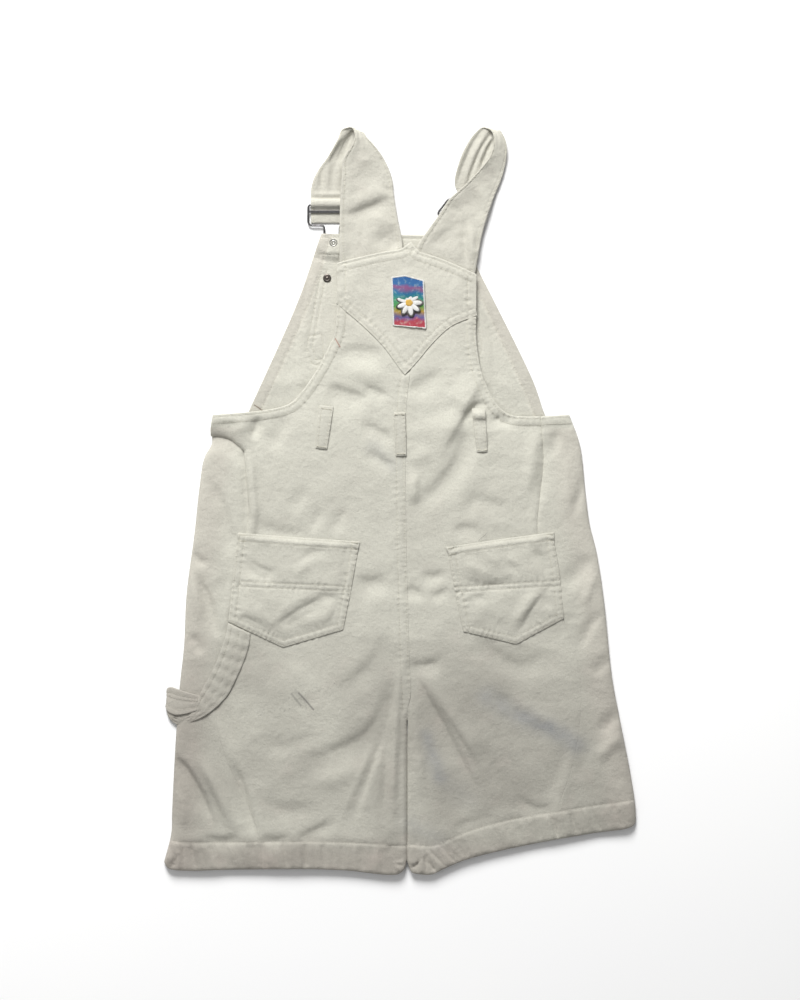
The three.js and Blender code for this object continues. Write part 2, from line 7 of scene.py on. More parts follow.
# %% Load the fixed frame
import sys
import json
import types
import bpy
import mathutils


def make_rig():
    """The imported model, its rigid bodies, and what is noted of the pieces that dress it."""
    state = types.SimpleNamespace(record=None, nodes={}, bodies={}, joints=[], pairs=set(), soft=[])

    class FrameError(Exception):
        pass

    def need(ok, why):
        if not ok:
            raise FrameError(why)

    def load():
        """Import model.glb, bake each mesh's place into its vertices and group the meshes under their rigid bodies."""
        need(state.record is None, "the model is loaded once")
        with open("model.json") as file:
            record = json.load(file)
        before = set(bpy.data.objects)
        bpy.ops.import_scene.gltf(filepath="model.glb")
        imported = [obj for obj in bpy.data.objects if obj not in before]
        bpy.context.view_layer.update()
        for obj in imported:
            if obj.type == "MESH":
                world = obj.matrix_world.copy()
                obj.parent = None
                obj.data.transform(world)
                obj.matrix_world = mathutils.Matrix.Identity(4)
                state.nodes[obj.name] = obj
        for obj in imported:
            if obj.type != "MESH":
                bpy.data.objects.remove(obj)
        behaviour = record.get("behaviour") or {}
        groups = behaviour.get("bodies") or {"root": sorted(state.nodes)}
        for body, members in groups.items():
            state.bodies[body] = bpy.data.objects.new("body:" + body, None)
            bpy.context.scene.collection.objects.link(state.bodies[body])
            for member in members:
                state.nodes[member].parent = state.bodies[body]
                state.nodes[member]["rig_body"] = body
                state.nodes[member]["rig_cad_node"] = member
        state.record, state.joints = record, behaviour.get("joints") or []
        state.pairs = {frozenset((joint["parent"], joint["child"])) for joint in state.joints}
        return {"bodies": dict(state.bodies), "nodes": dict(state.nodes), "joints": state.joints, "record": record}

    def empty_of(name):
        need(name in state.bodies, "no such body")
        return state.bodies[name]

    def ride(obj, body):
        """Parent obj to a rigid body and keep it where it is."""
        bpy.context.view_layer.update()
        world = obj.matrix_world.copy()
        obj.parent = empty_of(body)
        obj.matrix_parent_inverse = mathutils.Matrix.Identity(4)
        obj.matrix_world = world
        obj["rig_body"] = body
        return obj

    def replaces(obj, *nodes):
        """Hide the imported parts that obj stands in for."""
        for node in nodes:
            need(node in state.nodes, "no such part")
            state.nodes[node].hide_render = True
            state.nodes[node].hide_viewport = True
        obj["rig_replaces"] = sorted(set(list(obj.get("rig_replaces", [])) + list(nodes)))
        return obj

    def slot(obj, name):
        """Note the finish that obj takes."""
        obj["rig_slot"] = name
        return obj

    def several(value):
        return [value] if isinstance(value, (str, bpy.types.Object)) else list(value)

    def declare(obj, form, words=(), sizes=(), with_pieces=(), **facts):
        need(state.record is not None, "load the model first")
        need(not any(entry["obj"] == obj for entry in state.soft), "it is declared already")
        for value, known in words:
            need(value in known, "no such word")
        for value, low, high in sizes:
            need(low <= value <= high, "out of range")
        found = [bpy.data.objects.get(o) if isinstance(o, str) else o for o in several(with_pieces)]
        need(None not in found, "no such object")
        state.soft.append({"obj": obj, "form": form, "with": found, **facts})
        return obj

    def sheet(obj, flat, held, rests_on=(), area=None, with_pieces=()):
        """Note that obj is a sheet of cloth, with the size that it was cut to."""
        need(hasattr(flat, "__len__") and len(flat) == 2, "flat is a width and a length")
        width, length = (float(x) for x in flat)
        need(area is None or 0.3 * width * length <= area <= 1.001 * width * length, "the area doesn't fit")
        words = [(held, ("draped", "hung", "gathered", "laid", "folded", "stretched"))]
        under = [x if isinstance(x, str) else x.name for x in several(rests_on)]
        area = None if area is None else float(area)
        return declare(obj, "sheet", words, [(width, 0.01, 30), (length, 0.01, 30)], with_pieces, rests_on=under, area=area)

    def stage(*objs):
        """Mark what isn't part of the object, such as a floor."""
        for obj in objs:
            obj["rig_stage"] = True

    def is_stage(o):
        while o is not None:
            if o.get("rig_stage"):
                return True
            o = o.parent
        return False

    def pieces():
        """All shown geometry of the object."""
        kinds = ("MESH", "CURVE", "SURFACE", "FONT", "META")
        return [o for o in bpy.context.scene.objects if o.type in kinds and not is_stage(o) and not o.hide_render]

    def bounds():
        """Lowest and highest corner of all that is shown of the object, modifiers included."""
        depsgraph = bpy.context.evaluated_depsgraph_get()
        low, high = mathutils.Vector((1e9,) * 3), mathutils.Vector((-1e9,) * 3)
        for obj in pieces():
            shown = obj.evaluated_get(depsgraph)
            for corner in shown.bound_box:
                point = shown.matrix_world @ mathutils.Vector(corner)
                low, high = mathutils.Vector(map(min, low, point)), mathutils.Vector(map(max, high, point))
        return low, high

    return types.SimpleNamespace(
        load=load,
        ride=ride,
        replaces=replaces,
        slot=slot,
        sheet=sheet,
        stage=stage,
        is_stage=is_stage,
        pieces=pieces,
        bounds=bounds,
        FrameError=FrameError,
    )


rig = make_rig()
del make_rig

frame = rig.load()

# %% Tools, units and the box to keep to
import json
import math

import bpy
import numpy as np
from mathutils.geometry import delaunay_2d_cdt

for factory_name in ("Cube", "Camera", "Light"):
    factory_object = bpy.data.objects.get(factory_name)
    if factory_object is not None:
        bpy.data.objects.remove(factory_object)

cad_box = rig.bounds()
MM = 0.001
print("CAD box in metres:", [[round(v, 4) for v in corner] for corner in cad_box])


def in_scene(name, data):
    """An object for some data, linked to the scene."""
    made = bpy.data.objects.new(name, data)
    bpy.context.scene.collection.objects.link(made)
    return made


def smooth_mesh(name, points, faces, material):
    """A mesh that shades smoothly, from points in millimetres."""
    mesh = bpy.data.meshes.new(name)
    mesh.from_pydata((np.asarray(points) * MM).tolist(), [], faces)
    mesh.polygons.foreach_set("use_smooth", np.ones(len(mesh.polygons), bool))
    mesh.materials.append(material)
    mesh.update()
    return mesh

# %% [markdown]
# ## Lines on the cloth
# A pattern cutter thinks in lines: outlines, seams and rows of stitches. Each line here is a short
# list of points in millimetres that a smooth curve passes through. The same lines later cut the
# cloth, sink the stitching and carry the thread, so that everything agrees.

# %% Smooth and straight lines
def span(a, b, c, d, gaps, t):
    """A place on the smooth curve from b to c, from its neighbours and the gaps between all four."""
    before, here, after = gaps
    leave = (c - b) + here * ((b - a) / before - (c - a) / (before + here))
    arrive = (c - b) + here * ((d - c) / after - (d - b) / (here + after))
    return (
        (2 * t**3 - 3 * t**2 + 1) * b + (t**3 - 2 * t**2 + t) * leave
        + (3 * t**2 - 2 * t**3) * c + (t**3 - t**2) * arrive
    )


def with_ends(points):
    """The points with one more at each end, straight on."""
    p = np.array(points, float)
    return np.vstack([2 * p[0] - p[1], p, 2 * p[-1] - p[-2]])


def through(points, step=3.0):
    """A smooth line through a few points, with a point about every `step` millimetres."""
    p = with_ends(points)
    line = [p[1]]
    for a, b, c, d in zip(p, p[1:], p[2:], p[3:]):
        gaps = [math.dist(u, v) ** 0.5 for u, v in ((a, b), (b, c), (c, d))]
        count = max(1, math.ceil(math.dist(b, c) / step))
        line += [span(a, b, c, d, gaps, i / count) for i in range(1, count + 1)]
    return np.array(line)


def lengths_along(line):
    return np.concatenate([[0], np.cumsum(np.linalg.norm(np.diff(line, axis=0), axis=1))])


def even(line, step):
    """The same line with its points evenly spaced."""
    line = np.asarray(line, float)
    at = lengths_along(line)
    wanted = np.linspace(0, at[-1], max(2, round(at[-1] / step) + 1))
    return np.column_stack([np.interp(wanted, at, line[:, k]) for k in range(line.shape[1])])


def straight(points, step=3.0):
    """A line with sharp corners."""
    runs = [even([a, b], step) for a, b in zip(points, points[1:])]
    return np.vstack([runs[0]] + [run[1:] for run in runs[1:]])


def along_line(line):
    """The way along a line at each of its points."""
    way = np.gradient(line, axis=0)
    return way / np.linalg.norm(way, axis=1)[:, None]


def beside(line, distance):
    """The line moved to its left hand."""
    way = along_line(line)
    return line + distance * np.column_stack([-way[:, 1], way[:, 0]])


CLOSEST = 0.6


def ring_of(*lines):
    """A closed outline from lines that follow each other, with no two points too close."""
    points = np.vstack(lines)
    keep = [0]
    for i in range(1, len(points)):
        if math.dist(points[i], points[keep[-1]]) > CLOSEST:
            keep.append(i)
    while math.dist(points[keep[-1]], points[keep[0]]) <= CLOSEST:
        keep.pop()
    return points[keep]


def part(line, low, high):
    """The part of a line between two fractions of its length."""
    fraction = lengths_along(line) / lengths_along(line)[-1]
    return line[(fraction >= low) & (fraction <= high)]


def x_at(line, y):
    """The x of a line that falls steadily in y."""
    return np.interp(-y, -line[:, 1], line[:, 0])


def ease(t):
    """From 0 to 1, smooth at both ends."""
    t = np.clip(t, 0, 1)
    return t * t * (3 - 2 * t)


def nearest(line, x, y, reach=1e9):
    """Distance to a line, its left hand counted as positive, and the place along the line."""
    gap = np.full(x.shape, 1e9)
    along = np.zeros(x.shape)
    low, high = line.min(0) - reach, line.max(0) + reach
    near = (x > low[0]) & (x < high[0]) & (y > low[1]) & (y < high[1])
    px, py = x[near], y[near]
    best, place = gap[near], along[near]
    at = lengths_along(line)
    for (ax, ay), (bx, by), start in zip(line, line[1:], at):
        dx, dy = bx - ax, by - ay
        size = math.hypot(dx, dy)
        t = np.clip(((px - ax) * dx + (py - ay) * dy) / size**2, 0, 1)
        ex, ey = px - ax - t * dx, py - ay - t * dy
        off = np.hypot(ex, ey) * np.where(dx * ey - dy * ex >= 0, 1.0, -1.0)
        closer = np.abs(off) < np.abs(best)
        best[closer] = off[closer]
        place[closer] = start + t[closer] * size
    gap[near], along[near] = best, place
    return gap, along

# %% [markdown]
# ## The pattern
# Left and right are the wearer's own. The lines below are the edges and seams of the laid out
# garment, and each repeats the frame's line of the same name, so that the finished cloth fills the
# space that its solid holds.

# %% Edges and seams of the garment
SIDE_LEFT = through([
    (-233, 106), (-236, 89), (-234, 72), (-244, 52), (-250, 15), (-256, -41), (-266, -118),
    (-269, -181), (-274, -228), (-279, -292), (-284, -388), (-285, -416), (-294, -452),
])
SIDE_RIGHT = through([
    (211, 106), (224, 69), (231, 8), (236, -29), (245, -66), (254, -125), (264, -220),
    (274, -274), (286, -335), (293, -380), (294, -398),
])
SEAM_LEFT = through([
    (-194, 61), (-192, 28), (-189, -14), (-195, -60), (-214, -152), (-226, -215), (-229, -275),
    (-214, -330), (-192, -376), (-176, -421), (-172, -460),
])
SEAM_RIGHT = through([
    (176, 104), (179, 48), (174, -2), (172, -40), (204, -148), (224, -215), (225, -270),
    (214, -335), (198, -382), (195, -423),
])
HEM_LEFT_OUTER = through([(-172, -460), (-230, -461), (-262, -462), (-289, -459), (-294, -452)])
HEM_LEFT_INNER = through([
    (-172, -460), (-106, -460), (-62, -462), (-19, -466.8), (-2, -466), (5, -460), (8, -450),
])
HEM_RIGHT_INNER = through([
    (10, -454), (15, -464), (22, -466), (40, -466.5), (54, -460), (80, -449), (130, -436),
    (195, -423),
])
HEM_RIGHT_OUTER = through([(195, -423), (240, -415.5), (284, -409), (292, -405), (294, -398)])
CENTRE_BACK = through([(6, 160), (1, 110), (1, -38), (3, -125), (6, -220), (9, -272)])
YOKE_SEAM_LEFT = through([(-78, 248), (-44, 219), (-19, 194), (6, 160)])
YOKE_SEAM_RIGHT = through([(95, 233), (62, 219), (37, 196), (22, 178), (6, 160)])
ARMHOLE_LEFT = through([
    (-78, 248), (-81, 210), (-90, 188), (-102, 165), (-120, 138), (-136, 121), (-156, 114),
    (-192, 109), (-233, 106),
])
ARMHOLE_RIGHT = through([
    (95, 233), (95, 202), (101, 162), (109, 140), (119, 121), (135, 107), (155, 104), (176, 104),
])
TAB_EDGE = through([(-236, 80), (-222, 79), (-211, 75), (-201, 67), (-194, 61)])
YOKE_TOP = np.vstack([
    through([(-78, 295), (-60, 300), (-20, 309), (2, 313), (13, 321)]),
    through([(24, 309), (52, 300), (80, 288), (95, 281)]),
])
BIB_LEFT = through([(-98, 332), (-105, 312), (-126, 251), (-188, 112), (-200, 85)])
BIB_RIGHT = through([(76, 330), (96, 290), (166, 148), (180, 108), (192, 85)])
FRONT_WAIST_Y = 80
CROTCH_Y = -272
SLIT_X = 9
print("lines cut:", sum(isinstance(v, np.ndarray) for v in list(globals().values())))

# %% [markdown]
# ## Creases
# Laid cloth never lies like card. The large folds of this garment are placed one by one, each as a
# soft trough (below zero) or ridge (above zero) along its own line, with one reach on either hand,
# because a fold is steep on one side and easy on the other. Small random swells, from a fixed seed,
# go between them.

# %% Heights of the upper layer
BODY = 7.9
YOKE_LIFT = 2.3
CLOTH = 1.2
CREASE_STRENGTH = 1.85

# rise, reach on the left hand, reach on the right hand, points
BACK_CREASES = [
    (-2.7, 6, 15, [(-94, 142), (-66, 132), (-36, 123)]),
    (-1.5, 5, 10, [(-48, 143), (-30, 135), (-12, 126)]),
    (-1.5, 7, 14, [(-88, 174), (-55, 185), (-12, 180)]),
    (1.0, 10, 12, [(-76, 160), (-44, 158), (-12, 150)]),
    (-1.4, 6, 10, [(-52, 94), (-28, 86), (-6, 68)]),
    (-1.3, 5, 9, [(-42, 62), (-24, 50), (-6, 38)]),
    (-1.8, 9, 12, [(-138, 106), (-150, 84), (-164, 58)]),
    (-1.2, 8, 9, [(-190, -24), (-150, -40), (-104, -42)]),
    (-1.0, 6, 8, [(-98, -8), (-106, -28), (-112, -44)]),
    (-1.0, 6, 8, [(-68, -8), (-76, -26), (-84, -44)]),
    (-0.9, 8, 10, [(-120, 20), (-124, 4), (-138, -16)]),
    (-1.8, 8, 14, [(6, 127), (26, 143), (58, 158)]),
    (2.4, 7, 20, [(104, 172), (94, 144), (76, 108), (60, 80), (50, 58), (44, 40)]),
    (-3.0, 13, 9, [(96, 114), (86, 84), (76, 52), (56, 22), (30, 0), (8, -8)]),
    (1.9, 6, 7, [(22, 40), (17, 18), (20, -10)]),
    (1.0, 9, 9, [(8, 46), (24, 54), (44, 58)]),
    (-2.0, 4, 7, [(76, 84), (84, 106), (98, 119), (116, 118)]),
    (-1.8, 6, 8, [(110, 92), (124, 101), (150, 96)]),
    (-1.2, 9, 9, [(78, -30), (94, -2), (120, -8), (138, -20)]),
    (-1.4, 7, 10, [(62, -44), (84, -36), (104, -46)]),
    (-2.2, 7, 9, [(182, 90), (180, 40), (175, -12)]),
    (1.3, 8, 8, [(166, 84), (164, 40), (158, 0)]),
    (-1.0, 7, 12, [(60, 130), (72, 112), (88, 100)]),
    (-1.6, 7, 14, [(-60, -98), (-36, -104), (-12, -96)]),
    (-1.2, 5, 9, [(24, -91), (40, -96), (60, -88)]),
    (-1.2, 5, 8, [(34, -118), (46, -119), (64, -110)]),
    (-1.6, 6, 10, [(8, -106), (20, -116), (30, -112)]),
    (-1.8, 9, 14, [(88, -170), (150, -208), (194, -188)]),
    (-1.5, 9, 17, [(-86, -234), (-50, -221), (-10, -170)]),
    (-2.3, 9, 20, [(-140, -330), (-90, -318), (-41, -294), (-12, -250), (0, -212)]),
    (2.1, 5, 6, [(0, -186), (-4, -256), (-8, -334), (-9, -430)]),
    (-1.0, 5, 6, [(-10, -262), (-17, -330), (-22, -410)]),
    (-1.9, 4, 11, [(2, -176), (-13, -260), (-38, -340), (-68, -424)]),
    (0.9, 7, 5, [(-2, -200), (-24, -280), (-48, -340), (-78, -410)]),
    (-2.4, 3.5, 12, [(8, -190), (31, -240), (60, -292), (104, -376)]),
    (1.6, 10, 5, [(20, -196), (50, -250), (84, -300), (118, -358)]),
    (1.8, 7, 8, [(14, -250), (22, -310), (30, -380)]),
    (-1.7, 6, 12, [(4, -200), (24, -207), (58, -200)]),
    (-1.5, 5, 10, [(-252, -418), (-222, -425), (-194, -418)]),
    (-1.4, 5, 10, [(-176, -420), (-155, -425), (-134, -418)]),
    (-1.6, 5, 10, [(-134, -426), (-108, -414), (-78, -398)]),
    (-1.2, 8, 12, [(-180, -372), (-140, -388), (-96, -382)]),
    (-1.0, 8, 10, [(-176, -300), (-140, -306), (-104, -290)]),
    (1.0, 10, 12, [(-120, -352), (-80, -346), (-44, -330)]),
    (-4.2, 3.5, 9, [(-300, -308), (-273, -328), (-257, -350), (-242, -380), (-230, -412)]),
    (-3.2, 4, 8, [(-210, -322), (-198, -352), (-188, -390), (-176, -432)]),
    (3.0, 7, 7, [(-256, -312), (-234, -350), (-214, -392), (-204, -424)]),
    (1.6, 7, 8, [(-282, -350), (-272, -380), (-268, -418)]),
    (1.3, 9, 9, [(-234, -252), (-220, -300), (-200, -340)]),
    (-1.8, 5, 7, [(-262, -60), (-252, -74), (-238, -82)]),
    (-2.8, 4, 8, [(-256, -88), (-244, -112), (-234, -140), (-228, -178)]),
    (1.8, 6, 6, [(-262, -84), (-254, -120), (-248, -160)]),
    (-1.8, 9, 10, [(-228, -14), (-214, -44), (-216, -72)]),
    (-1.5, 4, 7, [(-250, -196), (-254, -180), (-262, -164)]),
    (-1.6, 6, 8, [(-240, 30), (-226, 2), (-212, -40)]),
    (-1.9, 8, 12, [(242, -66), (224, -90), (206, -112)]),
    (1.7, 5, 6, [(-186, 72), (-184, 20), (-182, -30), (-196, -62)]),
    (-1.4, 4, 6, [(-197, 70), (-193, 20), (-192, -20), (-200, -60)]),
    (-1.7, 5, 8, [(254, -136), (238, -158), (224, -190)]),
    (-1.5, 5, 7, [(238, 44), (226, 10), (214, -26)]),
    (1.3, 6, 6, [(248, -84), (236, -110), (228, -140)]),
    (1.2, 8, 8, [(206, 66), (210, 20), (208, -30)]),
    (-1.4, 6, 7, [(196, 92), (194, 72), (188, 50)]),
    (-2.0, 6, 9, [(270, -196), (256, -204), (240, -222)]),
    (-2.2, 7, 10, [(288, -262), (268, -272), (244, -296)]),
    (1.5, 8, 8, [(286, -290), (262, -306), (240, -330)]),
    (0.6, 9, 8, [(226, -280), (212, -335), (198, -382), (194, -430)]),
    (-0.8, 9, 12, [(208, -300), (190, -350), (172, -398)]),
    (-1.4, 6, 11, [(140, -368), (170, -385), (202, -380)]),
    (-1.1, 9, 12, [(84, -300), (110, -330), (124, -366)]),
    (-1.2, 6, 10, [(56, -412), (90, -402), (124, -390)]),
    (1.2, 10, 10, [(120, -250), (160, -262), (206, -290)]),
    (-1.2, 10, 10, [(110, -240), (140, -256), (170, -276)]),
]


def swells(x, y, size, seed):
    """Smooth random heights from -1 to 1, with hills about `size` millimetres apart."""
    grid = np.random.default_rng(seed).uniform(-1, 1, (128, 128))
    u, v = x / size + 40.5, y / size + 40.5
    i, j = np.floor(u).astype(int), np.floor(v).astype(int)
    fu, fv = ease(u - i), ease(v - j)
    near = grid[i % 128, j % 128] * (1 - fu) + grid[(i + 1) % 128, j % 128] * fu
    far = grid[i % 128, (j + 1) % 128] * (1 - fu) + grid[(i + 1) % 128, (j + 1) % 128] * fu
    return near * (1 - fv) + far * fv


def creases(x, y, table):
    """The sum of the creases in a table, each fading out at its two ends."""
    total = np.zeros(x.shape)
    for rise, left, right, points in table:
        line = through(points, 5)
        off, along = nearest(line, x, y, 3 * max(left, right))
        whole = lengths_along(line)[-1]
        fade = ease(along / (0.4 * whole)) * ease((whole - along) / (0.4 * whole))
        total += rise * fade * np.exp(-((off / np.where(off > 0, left, right)) ** 2))
    return total


def crinkle(x, y, size, seed):
    """Random sharp creases, where smooth random heights pass through zero."""
    bent_x = x + 0.55 * size * swells(x, y, 1.7 * size, seed + 1)
    bent_y = y + 0.55 * size * swells(x, y, 1.7 * size, seed + 2)
    return 0.4 - np.sqrt(swells(bent_x, bent_y, size, seed) ** 2 + 0.012)


def body_height(x, y):
    """The height of the laid upper layer, before seams, hems and rounded sides."""
    level = BODY + YOKE_LIFT * ease((y - 222) / 48)
    low = ease((-40 - y) / 120)
    crumple = (
        (0.6 + 0.7 * low) * swells(x, y, 52, 3) + 0.36 * swells(x, y, 19, 4) + 0.11 * swells(x, y, 8, 5)
    )
    crumple += crinkle(x, y, 44, 61) + 0.4 * crinkle(x, y, 17, 71)
    folded = CREASE_STRENGTH * creases(x, y, BACK_CREASES) + crumple
    deepest = 4.5 - 1.4 * ease((y - 120) / 30)
    return level + np.where(folded < 0, deepest * np.tanh(folded / deepest), folded)


def at_point(height, x, y):
    """The height at a single place."""
    return float(height(np.array([x]), np.array([y]))[0])


some_x, some_y = np.meshgrid(np.linspace(-180, 160, 80), np.linspace(-400, 200, 120))
some_height = body_height(some_x, some_y)
print("back creases:", len(BACK_CREASES))
print("heights from and to, mm:", some_height.min().round(2), some_height.max().round(2))

# %% [markdown]
# ## From a line drawing to cloth
# Real cloth is a thin wall, so each piece starts as one layer of triangles in the middle of the
# cloth. Points are thick along the edges and rows of stitches, where the shape changes fast, and
# even in between. Both faces are then moved out along the surface's own direction and joined by a
# rounded rim, which gives a closed shell with no open edges.

# %% Points and triangles inside an outline
def inside(ring, x, y):
    """Which places lie inside an outline."""
    hit = np.zeros(x.shape, bool)
    for (ax, ay), (bx, by) in zip(ring, np.roll(ring, -1, axis=0)):
        if ay != by:
            hit ^= ((ay > y) != (by > y)) & (x < ax + (bx - ax) * (y - ay) / (by - ay))
    return hit


def apart(points, from_points, distance):
    """The points that are at least about `distance` from all the others."""
    cell = distance / 1.5
    low = np.minimum(points.min(0), from_points.min(0)) - 3 * cell
    size = np.ceil((np.maximum(points.max(0), from_points.max(0)) - low) / cell).astype(int) + 4
    taken = np.zeros(size, bool)
    index = ((from_points - low) / cell).astype(int)
    for i in (-1, 0, 1):
        for j in (-1, 0, 1):
            taken[index[:, 0] + i, index[:, 1] + j] = True
    own = ((points - low) / cell).astype(int)
    return points[~taken[own[:, 0], own[:, 1]]]


EDGE_INSET = 0.7
ROW_SIDE = 1.1


def triangles_in(ring, rows, step, contours=()):
    """Triangulates an outline. Rows of stitches get a point on the row and one on either side."""
    closed = np.vstack([ring, ring[:1]])
    around = np.vstack([ring[-1:], ring, ring[:1]])
    inner = beside(around, EDGE_INSET)[1:-1]
    if inside(ring, inner[:, 0], inner[:, 1]).mean() <= 0.5:
        inner = beside(around, -EDGE_INSET)[1:-1]
    inner = inner[inside(ring, inner[:, 0], inner[:, 1])]
    placed = np.vstack([ring, inner])
    sides = (0, -ROW_SIDE, ROW_SIDE)
    rows_and_sides = [beside(even(row, min(step, 2.0)), off) for row in rows for off in sides]
    for line in rows_and_sides + list(contours):
        points = line[inside(ring, line[:, 0], line[:, 1])]
        if len(points):
            points = points[np.abs(nearest(closed, points[:, 0], points[:, 1])[0]) > 0.5]
        if len(points):
            placed = np.vstack([placed, apart(points, placed, 0.8)])
    low, high = ring.min(0), ring.max(0)
    gx, gy = np.meshgrid(np.arange(low[0], high[0], step), np.arange(low[1], high[1], step * 0.866))
    gx[1::2] += step / 2
    grid = np.column_stack([gx.ravel(), gy.ravel()])
    grid = grid[inside(ring, grid[:, 0], grid[:, 1])]
    placed = np.vstack([placed, apart(grid, placed, 0.72 * step)])
    count = len(ring)
    edges = [(i, (i + 1) % count) for i in range(count)]
    draw = np.random.default_rng(17)
    for _ in range(6):
        points, _, faces, *_ = delaunay_2d_cdt(placed.tolist(), edges, [], 1, 1e-5)
        if len(faces) > count:
            break
        placed[count:] += draw.uniform(-0.03, 0.03, placed[count:].shape)
    return np.array([p[:] for p in points]), np.array([f[:] for f in faces])

# %% The wall of the cloth
# how far the rim bulges out, as a share of half the thickness
RIM_BULGE = 0.6


def surface_directions(points, faces):
    """The way out of the surface at every point."""
    a, b, c = (points[faces[:, k]] for k in range(3))
    cross = np.cross(b - a, c - a)
    out = np.zeros_like(points)
    for k in range(3):
        np.add.at(out, faces[:, k], cross)
    return out / np.maximum(np.linalg.norm(out, axis=1), 1e-9)[:, None]


def wall(points, faces, thickness):
    """Both faces of the cloth and its rounded rim, from the layer in the middle."""
    count = len(points)
    out = surface_directions(points, faces)
    half = np.broadcast_to(np.asarray(thickness, float) / 2, (count,))[:, None]
    directed = np.vstack([faces[:, [0, 1]], faces[:, [1, 2]], faces[:, [2, 0]]])
    there = {(int(a), int(b)) for a, b in directed}
    rim = [(a, b) for a, b in there if (b, a) not in there]
    rim.sort()
    away = np.zeros_like(points)
    for a, b in rim:
        sideways = np.cross(points[b] - points[a], out[a] + out[b])
        sideways /= max(np.linalg.norm(sideways), 1e-9)
        away[a] += sideways
        away[b] += sideways
    on_rim = sorted({v for edge in rim for v in edge})
    place = {v: 2 * count + i for i, v in enumerate(on_rim)}
    reach = away[on_rim] / np.maximum(np.linalg.norm(away[on_rim], axis=1), 1e-9)[:, None]
    middle = points[on_rim] + RIM_BULGE * half[on_rim] * reach
    all_points = np.vstack([points + half * out, points - half * out, middle])
    quads = []
    for a, b in rim:
        quads.append((b, a, place[a], place[b]))
        quads.append((place[b], place[a], count + a, count + b))
    all_faces = faces.tolist() + (faces[:, ::-1] + count).tolist() + quads
    return all_points, all_faces, np.array(on_rim, int)

# %% Seams, puckers and rows of stitches
def sewn(x, y, rows, depth=0.5, pucker=0.22, pitch=8.0):
    """Stitches pull the cloth down in a narrow groove and gather it a little on both sides."""
    total = np.zeros(x.shape)
    for number, row in enumerate(rows):
        off, along = nearest(row, x, y, 12)
        ripple = np.sin(along * 2 * np.pi / pitch + 3.4 * np.sin(along / 17 + number))
        ripple = ripple * (0.55 + 0.45 * np.sin(along / 11 + 2.4 * number))
        ripple = ripple * (1 + 0.4 * np.sin(along / 5.3))
        total -= depth * np.exp(-((off / 1.0) ** 2))
        total += pucker * ripple * np.exp(-((off / 4.5) ** 2)) * (np.abs(off) < 12)
    return total

# %% [markdown]
# ## Shader sums in plain writing
# A material is a net of nodes. To keep the sums readable, a socket is wrapped in a small class, so
# that `1 - mask` or `a * b` adds the Math node by itself. Every other node comes from one method.

# %% The class and the node method
class Value:
    def __init__(self, look, socket):
        self.look = look
        self.socket = socket

    def math(self, operation, *others):
        inputs = dict(enumerate((self, *others)))
        return self.look.node("ShaderNodeMath", {"operation": operation}, inputs)

    def __add__(self, other):
        return self.math("ADD", other)

    __radd__ = __add__

    def __mul__(self, other):
        return self.math("MULTIPLY", other)

    __rmul__ = __mul__

    def __sub__(self, other):
        return self.math("SUBTRACT", other)

    def __rsub__(self, other):
        return (self * -1) + other

    def sine(self):
        return self.math("SINE")

    def rise(self, low, high):
        """0 below `low`, 1 above `high`, and smooth between them."""
        settings = {"interpolation_type": "SMOOTHSTEP"}
        return self.look.node("ShaderNodeMapRange", settings, {0: self, 1: low, 2: high})


class Look:
    """A material in the making."""

    def __init__(self, name):
        self.material = bpy.data.materials.new(name)
        self.material.use_nodes = True
        self.nodes = self.material.node_tree.nodes
        self.links = self.material.node_tree.links
        self.shader = self.nodes["Principled BSDF"]
        self.place = self.node("ShaderNodeTexCoord", output="Object")
        split = self.node("ShaderNodeSeparateXYZ", {}, {0: self.place}, output=None)
        self.x, self.y, self.z = (Value(self, s) for s in split.outputs)

    def node(self, kind, settings=None, inputs=None, output=0):
        made = self.nodes.new(kind)
        for key, value in (settings or {}).items():
            setattr(made, key, value)
        for key, value in (inputs or {}).items():
            self.feed(made.inputs[key], value)
        if output is None:
            return made
        return Value(self, made.outputs[output])

    def feed(self, socket, value):
        if isinstance(value, Value):
            self.links.new(value.socket, socket)
        else:
            socket.default_value = value

    def noise(self, scale, detail=3.0, roughness=0.55):
        inputs = {"Vector": self.place, "Scale": scale, "Detail": detail, "Roughness": roughness}
        return self.node("ShaderNodeTexNoise", {}, inputs)

    def mix(self, amount, one, other, blend="MIX"):
        inputs = {0: amount, 6: one, 7: other}
        return self.node("ShaderNodeMix", {"data_type": "RGBA", "blend_type": blend}, inputs, output=2)

    def attribute(self, name):
        return self.node("ShaderNodeAttribute", {"attribute_name": name}, {}, output="Fac")

    def bump(self, height, distance, strength=1.0, below=None):
        inputs = {"Height": height, "Distance": distance, "Strength": strength}
        if below is not None:
            inputs["Normal"] = below
        return self.node("ShaderNodeBump", {}, inputs)

    def finish(self, **sockets):
        for name, value in sockets.items():
            self.feed(self.shader.inputs[name.replace("_", " ")], value)
        return self.material


def rgb(red, green, blue):
    return (red, green, blue, 1.0)

# %% [markdown]
# ## The twill
# Twill has fine slanting ribs, here every 0.9 mm. The undyed cotton is a warm off-white. It has gone
# greyer down the legs and a little pink on the hems. Those three are stored on each piece's points
# as `soil`, `warm` and `blue`, because they follow the garment rather than its weave. The ribs, fuzz
# and fine crumple are bumps, as they are smaller than a point of the mesh.

# %% Cotton twill
CLEAN = rgb(0.585, 0.575, 0.495)
DIRTY = rgb(0.300, 0.284, 0.246)
WARM = rgb(0.500, 0.435, 0.385)
BLUE = rgb(0.232, 0.239, 0.250)
GREY_MARK = rgb(0.17, 0.165, 0.15)
RIB_PITCH = 0.0009
THREAD_PITCH = 0.0011


